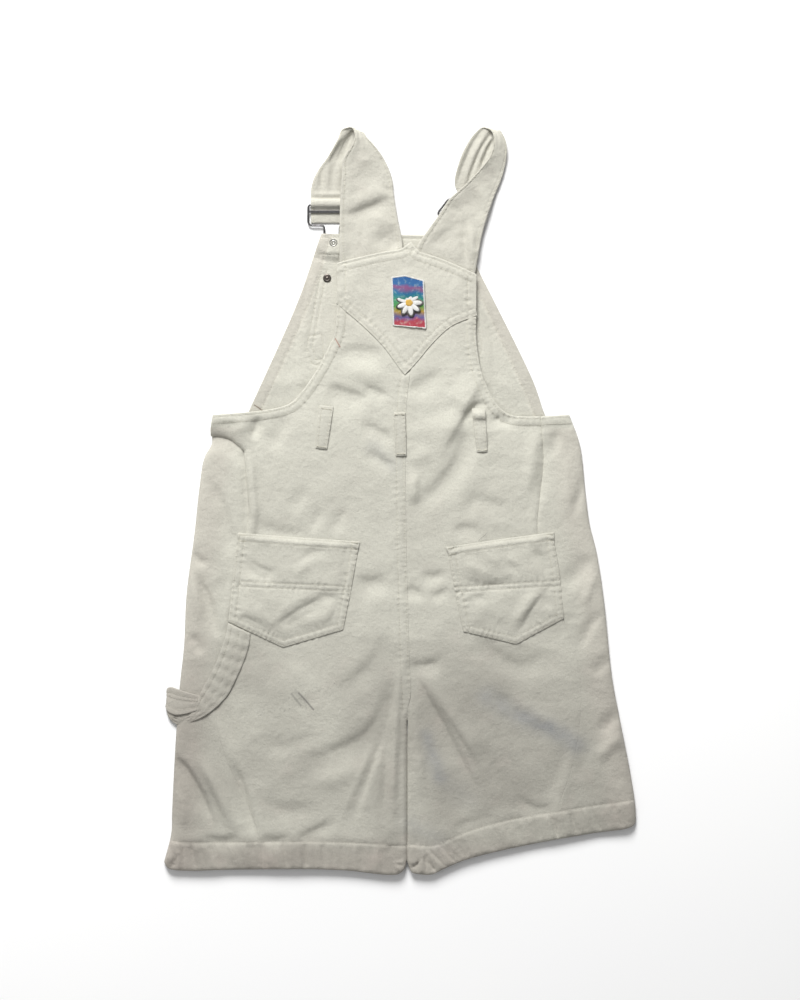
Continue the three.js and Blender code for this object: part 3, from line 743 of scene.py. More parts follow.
def twill(name, marks=(), turn=1.0, specks=()):
    """Twill with marks and, where fine dots let them show, specks: ends, width, strength, colour."""
    look = Look(name)
    soil, warm, blue = (look.attribute(key) for key in ("soil", "warm", "blue"))
    broad = look.noise(14, 3)
    mottled = look.noise(70, 4)
    grain = look.noise(900, 2)
    dirt = soil + (broad - 0.5) * 0.34 + (mottled - 0.5) * 0.16
    tone = look.mix(dirt.rise(-0.25, 1.25), CLEAN, DIRTY)
    blotch = look.noise(32, 3)
    warmth = warm * 0.6 + (blotch - 0.56).math("MAXIMUM", 0.0) * soil * 1.6
    tone = look.mix(warmth, tone, WARM)
    tone = look.mix(blue * (0.55 + (mottled - 0.5)), tone, BLUE)
    dots = look.noise(420, 3, 0.7).rise(0.56, 0.66)
    drawn = [(*mark, None) for mark in marks] + [(*speck, GREY_MARK, dots) for speck in specks]
    for (ax, ay), (bx, by), width, strength, colour, over in drawn:
        dx, dy = (bx - ax) * MM, (by - ay) * MM
        size = math.hypot(dx, dy)
        px = look.x - ax * MM
        py = look.y - ay * MM
        along = px * (dx / size) + py * (dy / size)
        across = px * (dy / size) - py * (dx / size)
        wobble = (mottled - 0.5) * (width * MM)
        beyond = (along - size / 2).math("ABSOLUTE") - size / 2
        off = (across + wobble).math("ABSOLUTE").math("MAXIMUM", beyond)
        mask = (1 - off.rise(width * MM * 0.25, width * MM)) * strength
        tone = look.mix(mask if over is None else mask * over, tone, colour)
    ribs = ((look.x * turn + look.y) * (2 * math.pi / RIB_PITCH) + mottled * 3.0).sine()
    threads = ((look.x * turn - look.y) * (2 * math.pi / THREAD_PITCH)).sine()
    slubs = look.noise(430, 3, 0.7)
    tone = look.mix(grain.rise(0.35, 0.75) * 0.10, tone, rgb(0.70, 0.69, 0.62), "SCREEN")
    tone = look.mix(slubs.rise(0.42, 0.68) * 0.17, tone, rgb(0.30, 0.285, 0.25))
    weave = look.bump(ribs * 0.7 + threads * 0.3, 0.00007)
    crumple = look.bump(look.noise(160, 5, 0.65), 0.0012, 0.8, weave)
    fuzz = look.bump(grain, 0.00018, 0.8, crumple)
    return look.finish(
        Base_Color=tone, Roughness=0.82 + (grain - 0.5) * 0.25, Normal=fuzz,
        Sheen_Weight=0.12, Sheen_Roughness=0.6, Specular_IOR_Level=0.18,
    )


TWILL = twill("cotton_twill")
TWILL_LEFT = twill("cotton_twill_scuffed", [
    ((-135, -242), (-124, -256), 2.2, 0.5, GREY_MARK),
    ((-126, -241), (-108, -261), 1.7, 0.75, GREY_MARK),
    ((-130, -240), (-118, -252), 5.0, 0.25, GREY_MARK),
    ((-80.5, 201), (-75, 191), 1.2, 0.75, rgb(0.30, 0.12, 0.08)),
], specks=[
    ((-174, -266), (-135, -259), 6.0, 0.55), ((-116, -242), (-78, -230), 7.0, 0.5),
    ((-150, -248), (-110, -262), 9.0, 0.3), ((-100, -300), (-60, -292), 9.0, 0.2),
])
TWILL_RIGHT = twill("cotton_twill_smudged")
TWILL_BIB = twill("cotton_twill_inside", [
    ((-181.5, 118.5), (-172, 112), 1.2, 0.8, rgb(0.18, 0.13, 0.09)),
], turn=-1.0)
print("twill nodes:", len(TWILL_LEFT.node_tree.nodes))

# %% Where the cloth is soiled, warm or smudged
SIDE_ROLL_X = 46
RIGHT_LEG_SHADE = through([(26, -262), (42, -320), (62, -384)])
# strength, reach, points
SMUDGES = [
    (0.62, 13, [(109, -245), (152, -270), (186, -284), (222, -306)]),
    (0.45, 9, [(150, -268), (184, -284), (214, -300)]),
    (0.75, 8, [(32, -292), (40, -318), (50, -346)]),
    (0.40, 12, [(10, -404), (30, -414), (46, -424)]),
    (0.35, 10, [(-34, 66), (-18, 54), (-6, 42)]),
    (0.20, 14, [(40, -330), (60, -352), (84, -372)]),
]


def soiling(x, y):
    """Soil, warmth and blue smudges at a place on the garment, each from 0 to about 1."""
    soil = 0.06 + 0.16 * ease((140 - y) / 160) + 0.42 * ease((-120 - y) / 130)
    soil += 0.30 * ease((-415 - y) / 30) + 0.10 * ease((x - 20) / 60) * ease((-180 - y) / 80)
    near_seam, _ = nearest(CENTRE_BACK, x, y, 60)
    soil -= 0.10 * np.exp(-((near_seam / 26) ** 2)) * ease((-60 - y) / 80)
    left = ease((SIDE_ROLL_X - (x - x_at(SIDE_LEFT, y))) / 30) * (y < 90)
    right = ease((SIDE_ROLL_X - (x_at(SIDE_RIGHT, y) - x)) / 30) * (y < 90)
    soil += (
        0.16 * left * ease((-200 - y) / 70) + 0.10 * left + 0.04 * right + 0.08 * ease((-415 - y) / 30)
    )
    legs = ease((-120 - y) / 90)
    soil += 0.16 * ease((-418 - y) / 12) * swells(x, 0.3 * y, 24, 94)
    soil += legs * (0.18 * swells(x, y, 75, 92) + 0.12 * swells(x, y, 34, 93))
    left_thigh = ease((-10 - x) / 40) * ease((x + 240) / 40) * (1 - ease((-400 - y) / 24))
    soil -= 0.19 * ease((-218 - y) / 45) * left_thigh
    shaded, _ = nearest(RIGHT_LEG_SHADE, x, y, 80)
    soil += 0.14 * np.exp(-((shaded / 24) ** 2))
    warm = 0.30 * (left + right) + 0.30 * ease((-415 - y) / 30) + 0.12 * ease((y - 170) / 50)
    blue = np.zeros(x.shape)
    for strength, width, points in SMUDGES:
        off, _ = nearest(through(points, 6), x, y, 3 * width)
        blue += strength * np.exp(-((off / width) ** 2))
    return soil, warm, np.clip(blue, 0, 1)

# %% A finished piece of cloth
# each piece by name, with the area of its middle layer
MADE = {}


def flat_area(points, faces):
    """The area of a layer in square millimetres."""
    a, b, c = (points[faces[:, k]] for k in range(3))
    return float(np.linalg.norm(np.cross(b - a, c - a), axis=1).sum() / 2)


def cloth_piece(name, points, faces, thickness, material, colouring=soiling):
    """A finished piece of cloth: closed, smooth, with its soiling stored on its points."""
    shell, shell_faces, rim = wall(points, faces, thickness)
    mesh = smooth_mesh(name, shell, shell_faces, material)
    for key, values in zip(("soil", "warm", "blue"), colouring(points[:, 0], points[:, 1])):
        values = np.concatenate([values, values, values[rim]])
        mesh.attributes.new(key, "FLOAT", "POINT").data.foreach_set("value", values.astype(np.float32))
    area = flat_area(points, faces)
    MADE[name] = (in_scene(name, mesh), area)
    print(name, "triangles:", 2 * len(faces) + 4 * len(rim), "layer area cm2:", round(area / 100))

# %% [markdown]
# ## A panel
# Most pieces are panels: one sheet with an outline, a height at every place and its rows of stitches.
# The outline is evened first, keeping its corners. The rows are kept for the thread, which is sewn in
# one go at the end, as on the real garment the thread is one colour throughout.

# %% Outlines, rows and panels
# rows of thread, as lines in 3-D, gathered while the pieces are made
THREAD = []
STITCH_LIFT = 0.12
ROW_INSET = 1.4


def upward(points, faces):
    """The faces, each turned to look up."""
    a, b, c = (points[faces[:, k]] for k in range(3))
    up = np.cross(b - a, c - a)[:, 2] > 0
    return np.where(up[:, None], faces, faces[:, ::-1])


def even_ring(ring, step):
    """An outline with even points that keeps its sharp corners."""
    closed = np.vstack([ring, ring[:1]])
    way = np.diff(closed, axis=0)
    angle = np.arctan2(way[:, 1], way[:, 0])
    turn = np.abs((angle - np.roll(angle, 1) + np.pi) % (2 * np.pi) - np.pi)
    corners = [i for i in range(len(ring)) if turn[i] > 0.5]
    if not corners:
        return even(closed, step)[:-1]
    runs = []
    for a, b in zip(corners, corners[1:] + [corners[0] + len(ring)]):
        index = [i % len(ring) for i in range(a, b + 1)]
        runs.append(even(ring[index], step)[:-1])
    return np.vstack(runs)


def lay_thread(rows, height, ring):
    """Keeps the parts of the rows that lie on the piece, at its height."""
    for row in rows:
        row = even(row, 1.6)
        tangent = along_line(row)
        on = np.ones(len(row), bool)
        for shift in (0, ROW_INSET, -ROW_INSET):
            on &= inside(ring, *(row + shift * tangent).T)
        starts = np.flatnonzero(np.diff(np.concatenate([[0], on.astype(int), [0]])))
        for a, b in zip(starts[::2], starts[1::2]):
            if b - a > 3:
                run = row[a:b]
                THREAD.append(np.column_stack([run, height(run[:, 0], run[:, 1]) + STITCH_LIFT]))


def make_panel(name, ring, rows, height, thickness, material, step=2.4, colouring=soiling):
    """A piece of cloth one layer high, its top at height(x, y), and its rows of thread."""
    ring = even_ring(ring, step)
    # the sheet's own rim is evened once more, and the thread keeps inside the first outline
    flat, faces = triangles_in(even_ring(ring, step), rows, step)
    x, y = flat.T
    thick = thickness(x, y) if callable(thickness) else thickness
    points = np.column_stack([x, y, height(x, y) - thick / 2])
    cloth_piece(name, points, upward(points, faces), thick, material, colouring)
    lay_thread(rows, height, ring)

# %% [markdown]
# ## Edges, hems and seams in the height of the cloth
# A hem is the same cloth turned in, so it is twice as thick and has a row of stitches at its inner
# edge. A long hem twists a little as it is sewn, which gives the slanting ripples called roping. The
# seam down the middle is felled: the left panel's edge lies over the right one's as a flat strip with
# two rows of stitches.

# %% Shared parts of the panels' heights
# single cloth in the pockets and the bib, without the fuzz that thickens the panels
SINGLE = 1.1
FELL = 6.5
FOLD_Z = 2.6
SLIT_Z = 3.5
ROPING_PITCH = 13
ROPING_LEFT = 2.2
ROPING_RIGHT = 1.5
ROLL = 13
HEM_LEFT = np.vstack([HEM_LEFT_OUTER[::-1], HEM_LEFT_INNER[1:]])
HEM_RIGHT = np.vstack([HEM_RIGHT_INNER, HEM_RIGHT_OUTER[1:]])
HEM_ROW_LEFT = through([(-291, -425), (-276, -427), (-176, -427), (-74, -427), (-20, -430), (8, -432)])
HEM_ROW_RIGHT = through([
    (9, -431), (46, -431), (56, -426), (80, -416), (130, -401), (190, -390), (240, -382), (292, -375),
])


def quarter_round(t):
    """0 at a fold and 1 where the cloth is level."""
    return np.sqrt(1 - (1 - np.clip(t, 0, 1)) ** 2)


def leg_hem(x, y, edge, row, roping):
    """Added height of a leg's hem, and how thick it is over one layer."""
    off, place = nearest(edge, x, y, 60)
    depth = np.abs(off)
    in_hem = 1 - ease(nearest(row, x, y, 60)[0] / 2 + 0.5)
    turn = (place + 0.22 * depth) * 2 * np.pi / ROPING_PITCH
    turn += 2.5 * np.sin(place / 31) + 1.8 * swells(x, y, 37, 14)
    rope = 0.6 * np.sin(turn) + 0.4 * np.sin(2.3 * turn + 1.2 * np.sin(place / 17))
    rope += 0.75 * np.sin(0.43 * turn + 1.6 * np.sin(place / 40 + 1))
    strong = 0.25 + 0.85 * ease(0.5 + 0.9 * swells(x, y, 48, 11))
    ripple = roping * strong * rope * ease(depth / 6) * ease((34 - depth) / 8)
    puff = 0.8 * np.exp(-(((depth - 42) / 7) ** 2)) * (0.6 + 0.4 * swells(x, y, 30, 12))
    worn_edge = -1.3 * (1 - quarter_round(depth / 2.4)) * in_hem
    return in_hem * (0.7 + ripple) + puff + worn_edge, 1.2 * in_hem * ease(depth / 1.5)


def at_slit(x, y):
    """1 on the level cloth, falling to 0 at the gap between the legs."""
    return np.maximum(quarter_round((np.abs(x - SLIT_X) - 0.2) / 4.5), ease((y - CROTCH_Y + 14) / 26))


def armhole_fall(x, y):
    """The cloth falls towards the bare edges of the armholes."""
    left, _ = nearest(ARMHOLE_LEFT[: len(ARMHOLE_LEFT) * 2 // 3], x, y, 40)
    right, _ = nearest(ARMHOLE_RIGHT, x, y, 40)
    fall = np.maximum(1.3 * (1 - ease(np.abs(left) / 34)), 2.0 * (1 - ease(np.abs(right) / 34)))
    return -fall * (1 - ease((y - 205) / 30))


def soft_seam(x, y, line, side):
    """A pressed-open seam: a narrow valley, with the turned-in edge under one side."""
    off, along = nearest(line, x, y, 20)
    under = ease((off * side) / 1.5) * (1 - ease((off * side - 9) / 2.5))
    ripple = 0.13 * np.sin(along / 1.9 + 4 * np.sin(along / 23)) * np.exp(-((off / 7) ** 2))
    sharp = 0.12 + 0.88 * ease((y + 200) / 80)
    return sharp * (0.45 * under - 1.0 * np.exp(-((off / 1.5) ** 2)) + ripple)


def turned_edge(x, y, line, width, rise):
    """A narrow hem along an edge: raised cloth with a rounded outer edge."""
    off, _ = nearest(line, x, y, width + 8)
    gap = np.abs(off)
    return rise * (1 - ease((gap - width) / 1.6 + 0.5)) - 0.6 * rise * (1 - quarter_round(gap / 1.6))

# %% [markdown]
# ## Back panels
# The two back panels are the largest shapes that show. Each is one sheet from its yoke seam to its
# hem. A cloth simulation would lay them down but would not give these folds, so each height is a sum
# of the shared creases and this panel's own seams, and the sheet is built straight from it.

# %% Left back panel
CENTRE_EDGE = CENTRE_BACK + np.column_stack([
    FELL * ease((CENTRE_BACK[:, 1] + 268) / 30), np.zeros(len(CENTRE_BACK)),
])
CENTRE_ROWS = [
    part(beside(CENTRE_BACK, 4.6), 0.02, 0.94),
    part(beside(CENTRE_BACK, -4.6), 0.02, 0.985),
]
ARMHOLE_LEFT_ROWS = [beside(ARMHOLE_LEFT, 2.6), beside(ARMHOLE_LEFT, 10.8)]
LEFT_ROWS = CENTRE_ROWS + ARMHOLE_LEFT_ROWS + [HEM_ROW_LEFT]
TAB_CREASES = [
    (-3.4, 7, 5, [(-174, 106), (-179, 96), (-181, 86), (-190, 76)]),
    (1.6, 7, 7, [(-196, 104), (-196, 92), (-200, 82)]),
    (-1.2, 5, 5, [(-232, 92), (-214, 93), (-196, 90)]),
]


def back_left_height(x, y):
    level = body_height(x, y) + armhole_fall(x, y)
    tab = 1 - ease((x + 200) / 22)
    from_tab = np.abs(nearest(TAB_EDGE, x, y, 60)[0]) / 15
    roll = 0.5 * quarter_round(from_tab) + 0.5 * np.clip(from_tab, 0, 1)
    level += tab * (-2.9 + 6.6 * roll) * ease((y - 45) / 25)
    level += creases(x, y, TAB_CREASES)
    from_centre, _ = nearest(CENTRE_BACK, x, y)
    from_yoke = np.abs(nearest(YOKE_SEAM_LEFT, x, y, 30)[0])
    level += 0.3 * ease((from_centre + 8) / 2.2) * ease((from_yoke - 4) / 7) * (y > -420)
    level -= 0.5 * (1 - ease((from_yoke - 3.5) / 2))
    level += soft_seam(x, y, SEAM_LEFT, 1) + turned_edge(x, y, ARMHOLE_LEFT, 11, 0.7)
    level += (
        sewn(x, y, CENTRE_ROWS, 0.5, 0.32, 7) + sewn(x, y, [HEM_ROW_LEFT], 0.7, 0.36)
        + sewn(x, y, ARMHOLE_LEFT_ROWS, 0.45, 0.36, 6.5)
    )
    hem, _ = leg_hem(x, y, HEM_LEFT, HEM_ROW_LEFT, ROPING_LEFT)
    return SLIT_Z + (level + hem - SLIT_Z) * at_slit(x, y)


def back_left_thickness(x, y):
    from_centre, _ = nearest(CENTRE_BACK, x, y, 30)
    over_right = ease((from_centre + 1) / 2) * (from_centre < 30) * (y > -262)
    return CLOTH - 0.6 * over_right + leg_hem(x, y, HEM_LEFT, HEM_ROW_LEFT, 0)[1]


BACK_LEFT_RING = ring_of(
    YOKE_SEAM_LEFT[:-1], CENTRE_EDGE[1:], [(8, -276), (8.9, -304), (8.9, -424)], HEM_LEFT_INNER[::-1],
    SEAM_LEFT[::-1], TAB_EDGE[::-1], [(-236, 89)], ARMHOLE_LEFT[::-1],
)
make_panel("back_left", BACK_LEFT_RING, LEFT_ROWS, back_left_height, back_left_thickness, TWILL_LEFT)

# %% Right back panel
ARMHOLE_RIGHT_ROWS = [beside(ARMHOLE_RIGHT, -2.6), beside(ARMHOLE_RIGHT, -10.8)]
RIGHT_ROWS = ARMHOLE_RIGHT_ROWS + [HEM_ROW_RIGHT]


def back_right_height(x, y):
    level = body_height(x, y) + armhole_fall(x, y)
    from_centre, _ = nearest(CENTRE_BACK, x, y, 30)
    from_yoke = np.abs(nearest(YOKE_SEAM_RIGHT, x, y, 30)[0])
    level -= 0.55 * (1 - ease((from_centre - 6) / 1.6)) * ease((y + 262) / 20)
    level -= 0.5 * (1 - ease((from_yoke - 3.5) / 2))
    level += soft_seam(x, y, SEAM_RIGHT, -1) + turned_edge(x, y, ARMHOLE_RIGHT, 11, 0.9)
    level += sewn(x, y, [HEM_ROW_RIGHT], 0.7, 0.4) + sewn(x, y, ARMHOLE_RIGHT_ROWS, 0.5, 0.48, 6.5)
    hem, _ = leg_hem(x, y, HEM_RIGHT, HEM_ROW_RIGHT, ROPING_RIGHT)
    return SLIT_Z + (level + hem - SLIT_Z) * at_slit(x, y)


def back_right_thickness(x, y):
    return CLOTH + leg_hem(x, y, HEM_RIGHT, HEM_ROW_RIGHT, 0)[1]


BACK_RIGHT_RING = ring_of(
    YOKE_SEAM_RIGHT[:-1], CENTRE_BACK[1:], [(10, -276), (9.3, -304), (9.3, -430)], HEM_RIGHT_INNER,
    SEAM_RIGHT[::-1], ARMHOLE_RIGHT[::-1],
)
make_panel("back_right", BACK_RIGHT_RING, RIGHT_ROWS, back_right_height, back_right_thickness, TWILL_RIGHT)

# %% Yoke
YOKE_ROWS = [
    beside(YOKE_SEAM_LEFT, -1.0)[:-2], beside(YOKE_SEAM_LEFT, 6.5)[:-2],
    beside(YOKE_SEAM_RIGHT, 1.0)[:-2], beside(YOKE_SEAM_RIGHT, -6.5)[:-2],
    beside(YOKE_TOP, -3.0), beside(YOKE_TOP, -11.0),
    straight([(-68, 300), (-68, 252)]), straight([(84, 288), (84, 240)]),
]


def from_nearer(one, other, x, y, reach):
    """The distance to the nearer of two lines."""
    return np.minimum(np.abs(nearest(one, x, y, reach)[0]), np.abs(nearest(other, x, y, reach)[0]))


def yoke_height(x, y):
    level = body_height(x, y) + armhole_fall(x, y)
    from_seam = from_nearer(YOKE_SEAM_LEFT, YOKE_SEAM_RIGHT, x, y, 30)
    level += 0.45 + 0.15 * (1 - ease((from_seam - 7.5) / 2.5)) + turned_edge(x, y, YOKE_TOP, 12, 0.5)
    level += (0.55 * swells(x, y, 23, 15) + 0.3 * swells(x, y, 11, 16)) * ease((from_seam - 8) / 10)
    return level + sewn(x, y, YOKE_ROWS, 0.55, 0.36, 7)


def yoke_thickness(x, y):
    from_seam = from_nearer(YOKE_SEAM_LEFT, YOKE_SEAM_RIGHT, x, y, 30)
    return CLOTH - 0.4 * (1 - ease((from_seam - 4) / 3))


YOKE_RING = ring_of(
    beside(YOKE_SEAM_LEFT, -3)[:-3], [(6, 156)], beside(YOKE_SEAM_RIGHT, 3)[:-3][::-1],
    [(95, 236)], YOKE_TOP[::-1], [(-78, 250)],
)
make_panel("back_yoke", YOKE_RING, YOKE_ROWS, yoke_height, yoke_thickness, TWILL, 2.0)

# %% [markdown]
# ## Front panels
# Each front leg is one sheet that lies flat on the surface, turns round the leg's side and comes back
# on top as far as the side seam. The two layers are drawn apart and share their points along the
# fold, so the cloth really goes round.

# %% Front legs
FOLD_TOP = FOLD_Z + CLOTH / 2
# the middle of a layer that lies on the surface
LYING = 0.62
FRONT_TOP_RIGHT = straight([(176, 104), (211, 106)])
FRONT_TOP_ROWS = [straight([(176, 101.5), (212, 103.5)]), straight([(176, 94), (214, 95.5)])]


def front_strip_left(x, y):
    side = x - x_at(SIDE_LEFT, y)
    level = body_height(x, y) + soft_seam(x, y, SEAM_LEFT, -1)
    level += sewn(x, y, [HEM_ROW_LEFT], 0.7, 0.36)
    hem, _ = leg_hem(x, y, HEM_LEFT, HEM_ROW_LEFT, ROPING_LEFT)
    below_tab = -nearest(TAB_EDGE, x, y, 60)[0]
    level -= 3.6 * (1 - ease(below_tab / 24)) * (y > 20)
    return FOLD_TOP + (level + hem - FOLD_TOP) * quarter_round(side / ROLL)


def front_strip_right(x, y):
    side = x_at(SIDE_RIGHT, y) - x
    level = body_height(x, y) + soft_seam(x, y, SEAM_RIGHT, 1)
    level += sewn(x, y, [HEM_ROW_RIGHT], 0.7, 0.4)
    hem, _ = leg_hem(x, y, HEM_RIGHT, HEM_ROW_RIGHT, ROPING_RIGHT)
    level += turned_edge(x, y, FRONT_TOP_RIGHT, 11, 0.8) + sewn(x, y, FRONT_TOP_ROWS, 0.4, 0.2, 6.5)
    return FOLD_TOP + (level + hem - FOLD_TOP) * quarter_round(side / ROLL)


def lower_sheet_height(side_line):
    """The layer on the surface: it rises only where it meets the fold and at the inside leg."""
    def height(x, y):
        off = np.abs(nearest(side_line, x, y, 20)[0])
        rise = (FOLD_Z - LYING) * (1 - quarter_round(off / 5))
        inner = 0.5 * (1 - ease((np.abs(x - SLIT_X) - 1) / 8)) * (y < CROTCH_Y)
        return LYING + rise + inner + 0.03 * swells(x, y, 30, 21)
    return height


def front_leg(name, side_line, strip_ring_rest, lower_ring_rest, rows, strip_height):
    """Two layers that share the fold's points."""
    fold = even(side_line, 2.6)
    near_fold = [beside(fold, off) for off in (1, 2.2, 4, 6, 9)] + [beside(fold, -off) for off in (1, 2.2, 4)]
    strip_ring = ring_of(fold, even_open(strip_ring_rest, 2.6))
    points, faces = triangles_in(strip_ring, rows, 2.6, near_fold)
    top = np.column_stack([points, strip_height(points[:, 0], points[:, 1]) - CLOTH / 2])
    top[: len(fold), 2] = FOLD_Z
    top_faces = upward(top, faces)
    lower_ring = ring_of(fold, even_open(lower_ring_rest, 4.5))
    points, faces = triangles_in(lower_ring, [], 4.6, near_fold)
    under = np.column_stack([points, lower_sheet_height(fold)(points[:, 0], points[:, 1])])
    in_both = np.arange(len(under)) + len(top) - len(fold)
    in_both[: len(fold)] = np.arange(len(fold))
    both = np.vstack([top, under[len(fold) :]])
    both_faces = np.vstack([top_faces, in_both[upward(under, faces)[:, ::-1]]])
    cloth_piece(name, both, both_faces, CLOTH, TWILL)
    lay_thread(rows, strip_height, strip_ring)


def even_open(line, step):
    """Even points along an open line of several runs, keeping its sharp corners, ends left out."""
    line = np.asarray(line, float)
    way = np.diff(line, axis=0)
    angle = np.arctan2(way[:, 1], way[:, 0])
    turn = np.abs((np.diff(angle) + np.pi) % (2 * np.pi) - np.pi)
    corners = [0] + [i + 1 for i in range(len(turn)) if turn[i] > 0.5] + [len(line) - 1]
    runs = [even(line[a : b + 1], step)[:-1] for a, b in zip(corners, corners[1:])]
    return np.vstack(runs)[1:]


def below_waist(side):
    """The part of a side line that a front leg turns round."""
    return np.vstack([[x_at(side, FRONT_WAIST_Y), FRONT_WAIST_Y], side[side[:, 1] < FRONT_WAIST_Y - 1]])


SIDE_LEFT_LOW = below_waist(SIDE_LEFT)
SIDE_RIGHT_LOW = below_waist(SIDE_RIGHT)
INSIDE_LEG_LEFT = [(8, -272), (8.8, -262), (-0.2, -182), (-0.2, FRONT_WAIST_Y)]
INSIDE_LEG_RIGHT = [(10, -272), (9.2, -262), (0.2, -182), (0.2, FRONT_WAIST_Y)]
front_leg(
    "front_left", SIDE_LEFT_LOW,
    np.vstack([
        HEM_LEFT_OUTER[::-1], SEAM_LEFT[::-1], [(-197, 72), (-208, 82), (-222, 86)], SIDE_LEFT_LOW[:1],
    ]),
    np.vstack([HEM_LEFT_OUTER[::-1], HEM_LEFT_INNER, INSIDE_LEG_LEFT, SIDE_LEFT_LOW[:1]]),
    [HEM_ROW_LEFT], front_strip_left,
)
front_leg(
    "front_right", SIDE_RIGHT_LOW,
    np.vstack([
        HEM_RIGHT_OUTER[::-1], SEAM_RIGHT[::-1], FRONT_TOP_RIGHT[1:],
        SIDE_RIGHT[SIDE_RIGHT[:, 1] > FRONT_WAIST_Y + 1][1:], SIDE_RIGHT_LOW[:1],
    ]),
    np.vstack([HEM_RIGHT_OUTER[::-1], HEM_RIGHT_INNER[::-1], INSIDE_LEG_RIGHT, SIDE_RIGHT_LOW[:1]]),
    [HEM_ROW_RIGHT] + FRONT_TOP_ROWS, front_strip_right,
)

# %% [markdown]
# ## Bib and its pocket
# The bib lies face down on the surface. Its side hems are turned in, towards the viewer, so they show
# as bands with a sewn inner edge. The pocket is under it, on its right side, and only its stitching
# comes through.

# %% Bib
BIB_CENTRE_X = -7
BIB_POCKET = [(-100, 290), (-119, 190), (-112, 168), (-7, 150), (98, 168), (105, 190), (86, 290)]
BUTTONS = {"left": (-83, 321), "right": (57, 320)}
RIVETS = {"left": (-91, 277), "right": (77, 277)}
POCKET_LINE = straight(BIB_POCKET, 4)
BIB_CREASES = [
    (0.9, 10, 8, [(-176, 132), (-150, 146), (-124, 148)]),
    (0.8, 8, 8, [(-128, 240), (-122, 214), (-118, 196)]),
    (0.9, 8, 9, [(104, 262), (112, 232), (124, 208)]),
    (0.8, 7, 7, [(112, 150), (134, 142), (152, 124)]),
    (0.7, 8, 8, [(-108, 160), (-130, 150), (-150, 128)]),
]
BIB_HEM_LEFT = through([(-83, 334), (-90, 312), (-110, 251), (-172, 112), (-186, 82)])
BIB_HEM_RIGHT = through([(62, 334), (82, 290), (151, 143), (166, 106), (178, 82)])
BIB_ROWS = [
    beside(BIB_HEM_LEFT, -1.6), beside(BIB_HEM_RIGHT, 1.6),
    straight([(-100, 307), (-96, 307), (84, 307)]), straight([(-98, 328), (76, 326)]),
    beside(POCKET_LINE, 2.5), beside(POCKET_LINE, 9.0),
    straight([(-112, 205), (-97, 207), (-95, 172)]), straight([(80, 290), (80, 172)]),
]


def bib_height(x, y):
    half_pocket = 93 + (290 - np.maximum(y, 190)) * 0.19
    beyond = np.maximum(np.maximum(np.abs(x - BIB_CENTRE_X) - half_pocket, y - 290), 152 - y)
    over_pocket = 1 - ease((beyond - 6) / 6)
    gap = np.min([np.hypot(x - bx, y - by) for bx, by in BUTTONS.values()], axis=0)
    over_button = 1 - ease((gap - 13) / 16)
    level = 1.3 + np.maximum(1.5 * over_pocket, 5.0 * over_button)
    left = nearest(BIB_HEM_LEFT, x, y)[0]
    right = nearest(BIB_HEM_RIGHT, x, y)[0]
    hem = np.maximum(1 - ease(left / 1.4 + 0.5), ease(right / 1.4 + 0.5))
    level += 0.95 * hem + 0.9 * (1 - ease((307 - y) / 1.4 + 0.5)) * (1 - hem)
    level += np.maximum(creases(x, y, BIB_CREASES), 0) + 0.35 * (1 + swells(x, y, 34, 31)) * (1 - over_pocket)
    return level + 0.35 + 0.3 * swells(x, y, 24, 32) + sewn(x, y, BIB_ROWS, 0.6, 0.26, 7)


def bib_colouring(x, y):
    """The side hems are a little warmer and greyer, with a pale worn line along their inner edge."""
    soil, warm, blue = soiling(x, y)
    outside = np.maximum(-nearest(BIB_HEM_LEFT, x, y)[0], nearest(BIB_HEM_RIGHT, x, y)[0])
    hem = ease(outside / 1.4 + 0.5)
    worn_line = np.exp(-(((outside - 0.4) / 1.7) ** 2))
    return soil + 0.17 * hem - 0.5 * worn_line, warm + 0.25 * hem, blue


BIB_RING = ring_of(BIB_LEFT, [(-202, 80.3), (194, 80.3)], BIB_RIGHT[::-1])
make_panel("bib", BIB_RING, BIB_ROWS, bib_height, SINGLE, TWILL_BIB, 2.8, bib_colouring)

# %% Bib pocket, between the bib and the surface
def bib_pocket_height(x, y):
    return 1.15 + 0.04 * swells(x, y, 30, 33)


make_panel("bib_pocket", np.array(BIB_POCKET, float), [], bib_pocket_height, SINGLE, TWILL, 4.5)

# %% [markdown]
# ## Patch pockets
# A patch pocket is sewn on over the back, so it follows the back's height and stands a layer above
# it. Its edges are turned in and twice as thick, its mouth has a narrow hem, and the pouch between
# the stitches stands off the cloth a little.

# %% Back pockets
# outlines, the first three points along the mouth
MOUTH_POINTS = 3
POCKET_LEFT = [
    (-202, -41), (-125, -47), (-50, -52), (-52, -61), (-61, -112), (-71, -162), (-146, -184), (-214, -152),
]
POCKET_RIGHT = [
    (57, -59), (125, -49), (192, -40), (192, -52), (199, -92), (204, -148), (145, -180), (79, -164),
    (68, -112), (60, -66),
]
POUCH_LEFT = [
    (-2.1, 5, 12, [(-170, -168), (-142, -150), (-112, -132), (-76, -112)]),
    (1.0, 7, 7, [(-150, -140), (-124, -124), (-100, -116)]),
    (-1.3, 6, 9, [(-194, -70), (-176, -88), (-154, -88)]),
    (-1.0, 5, 8, [(-128, -78), (-104, -64), (-80, -72)]),
    (-1.4, 5, 9, [(-188, -76), (-168, -92), (-150, -84)]),
    (0.9, 6, 7, [(-138, -96), (-120, -84), (-112, -68)]),
    (-0.9, 5, 6, [(-106, -112), (-92, -120), (-72, -122)]),
    (-1.0, 4, 7, [(-200, -142), (-186, -152), (-166, -162)]),
    (0.8, 6, 6, [(-176, -126), (-172, -142), (-160, -152)]),
    (-0.9, 7, 8, [(-92, -160), (-80, -146), (-70, -128)]),
]
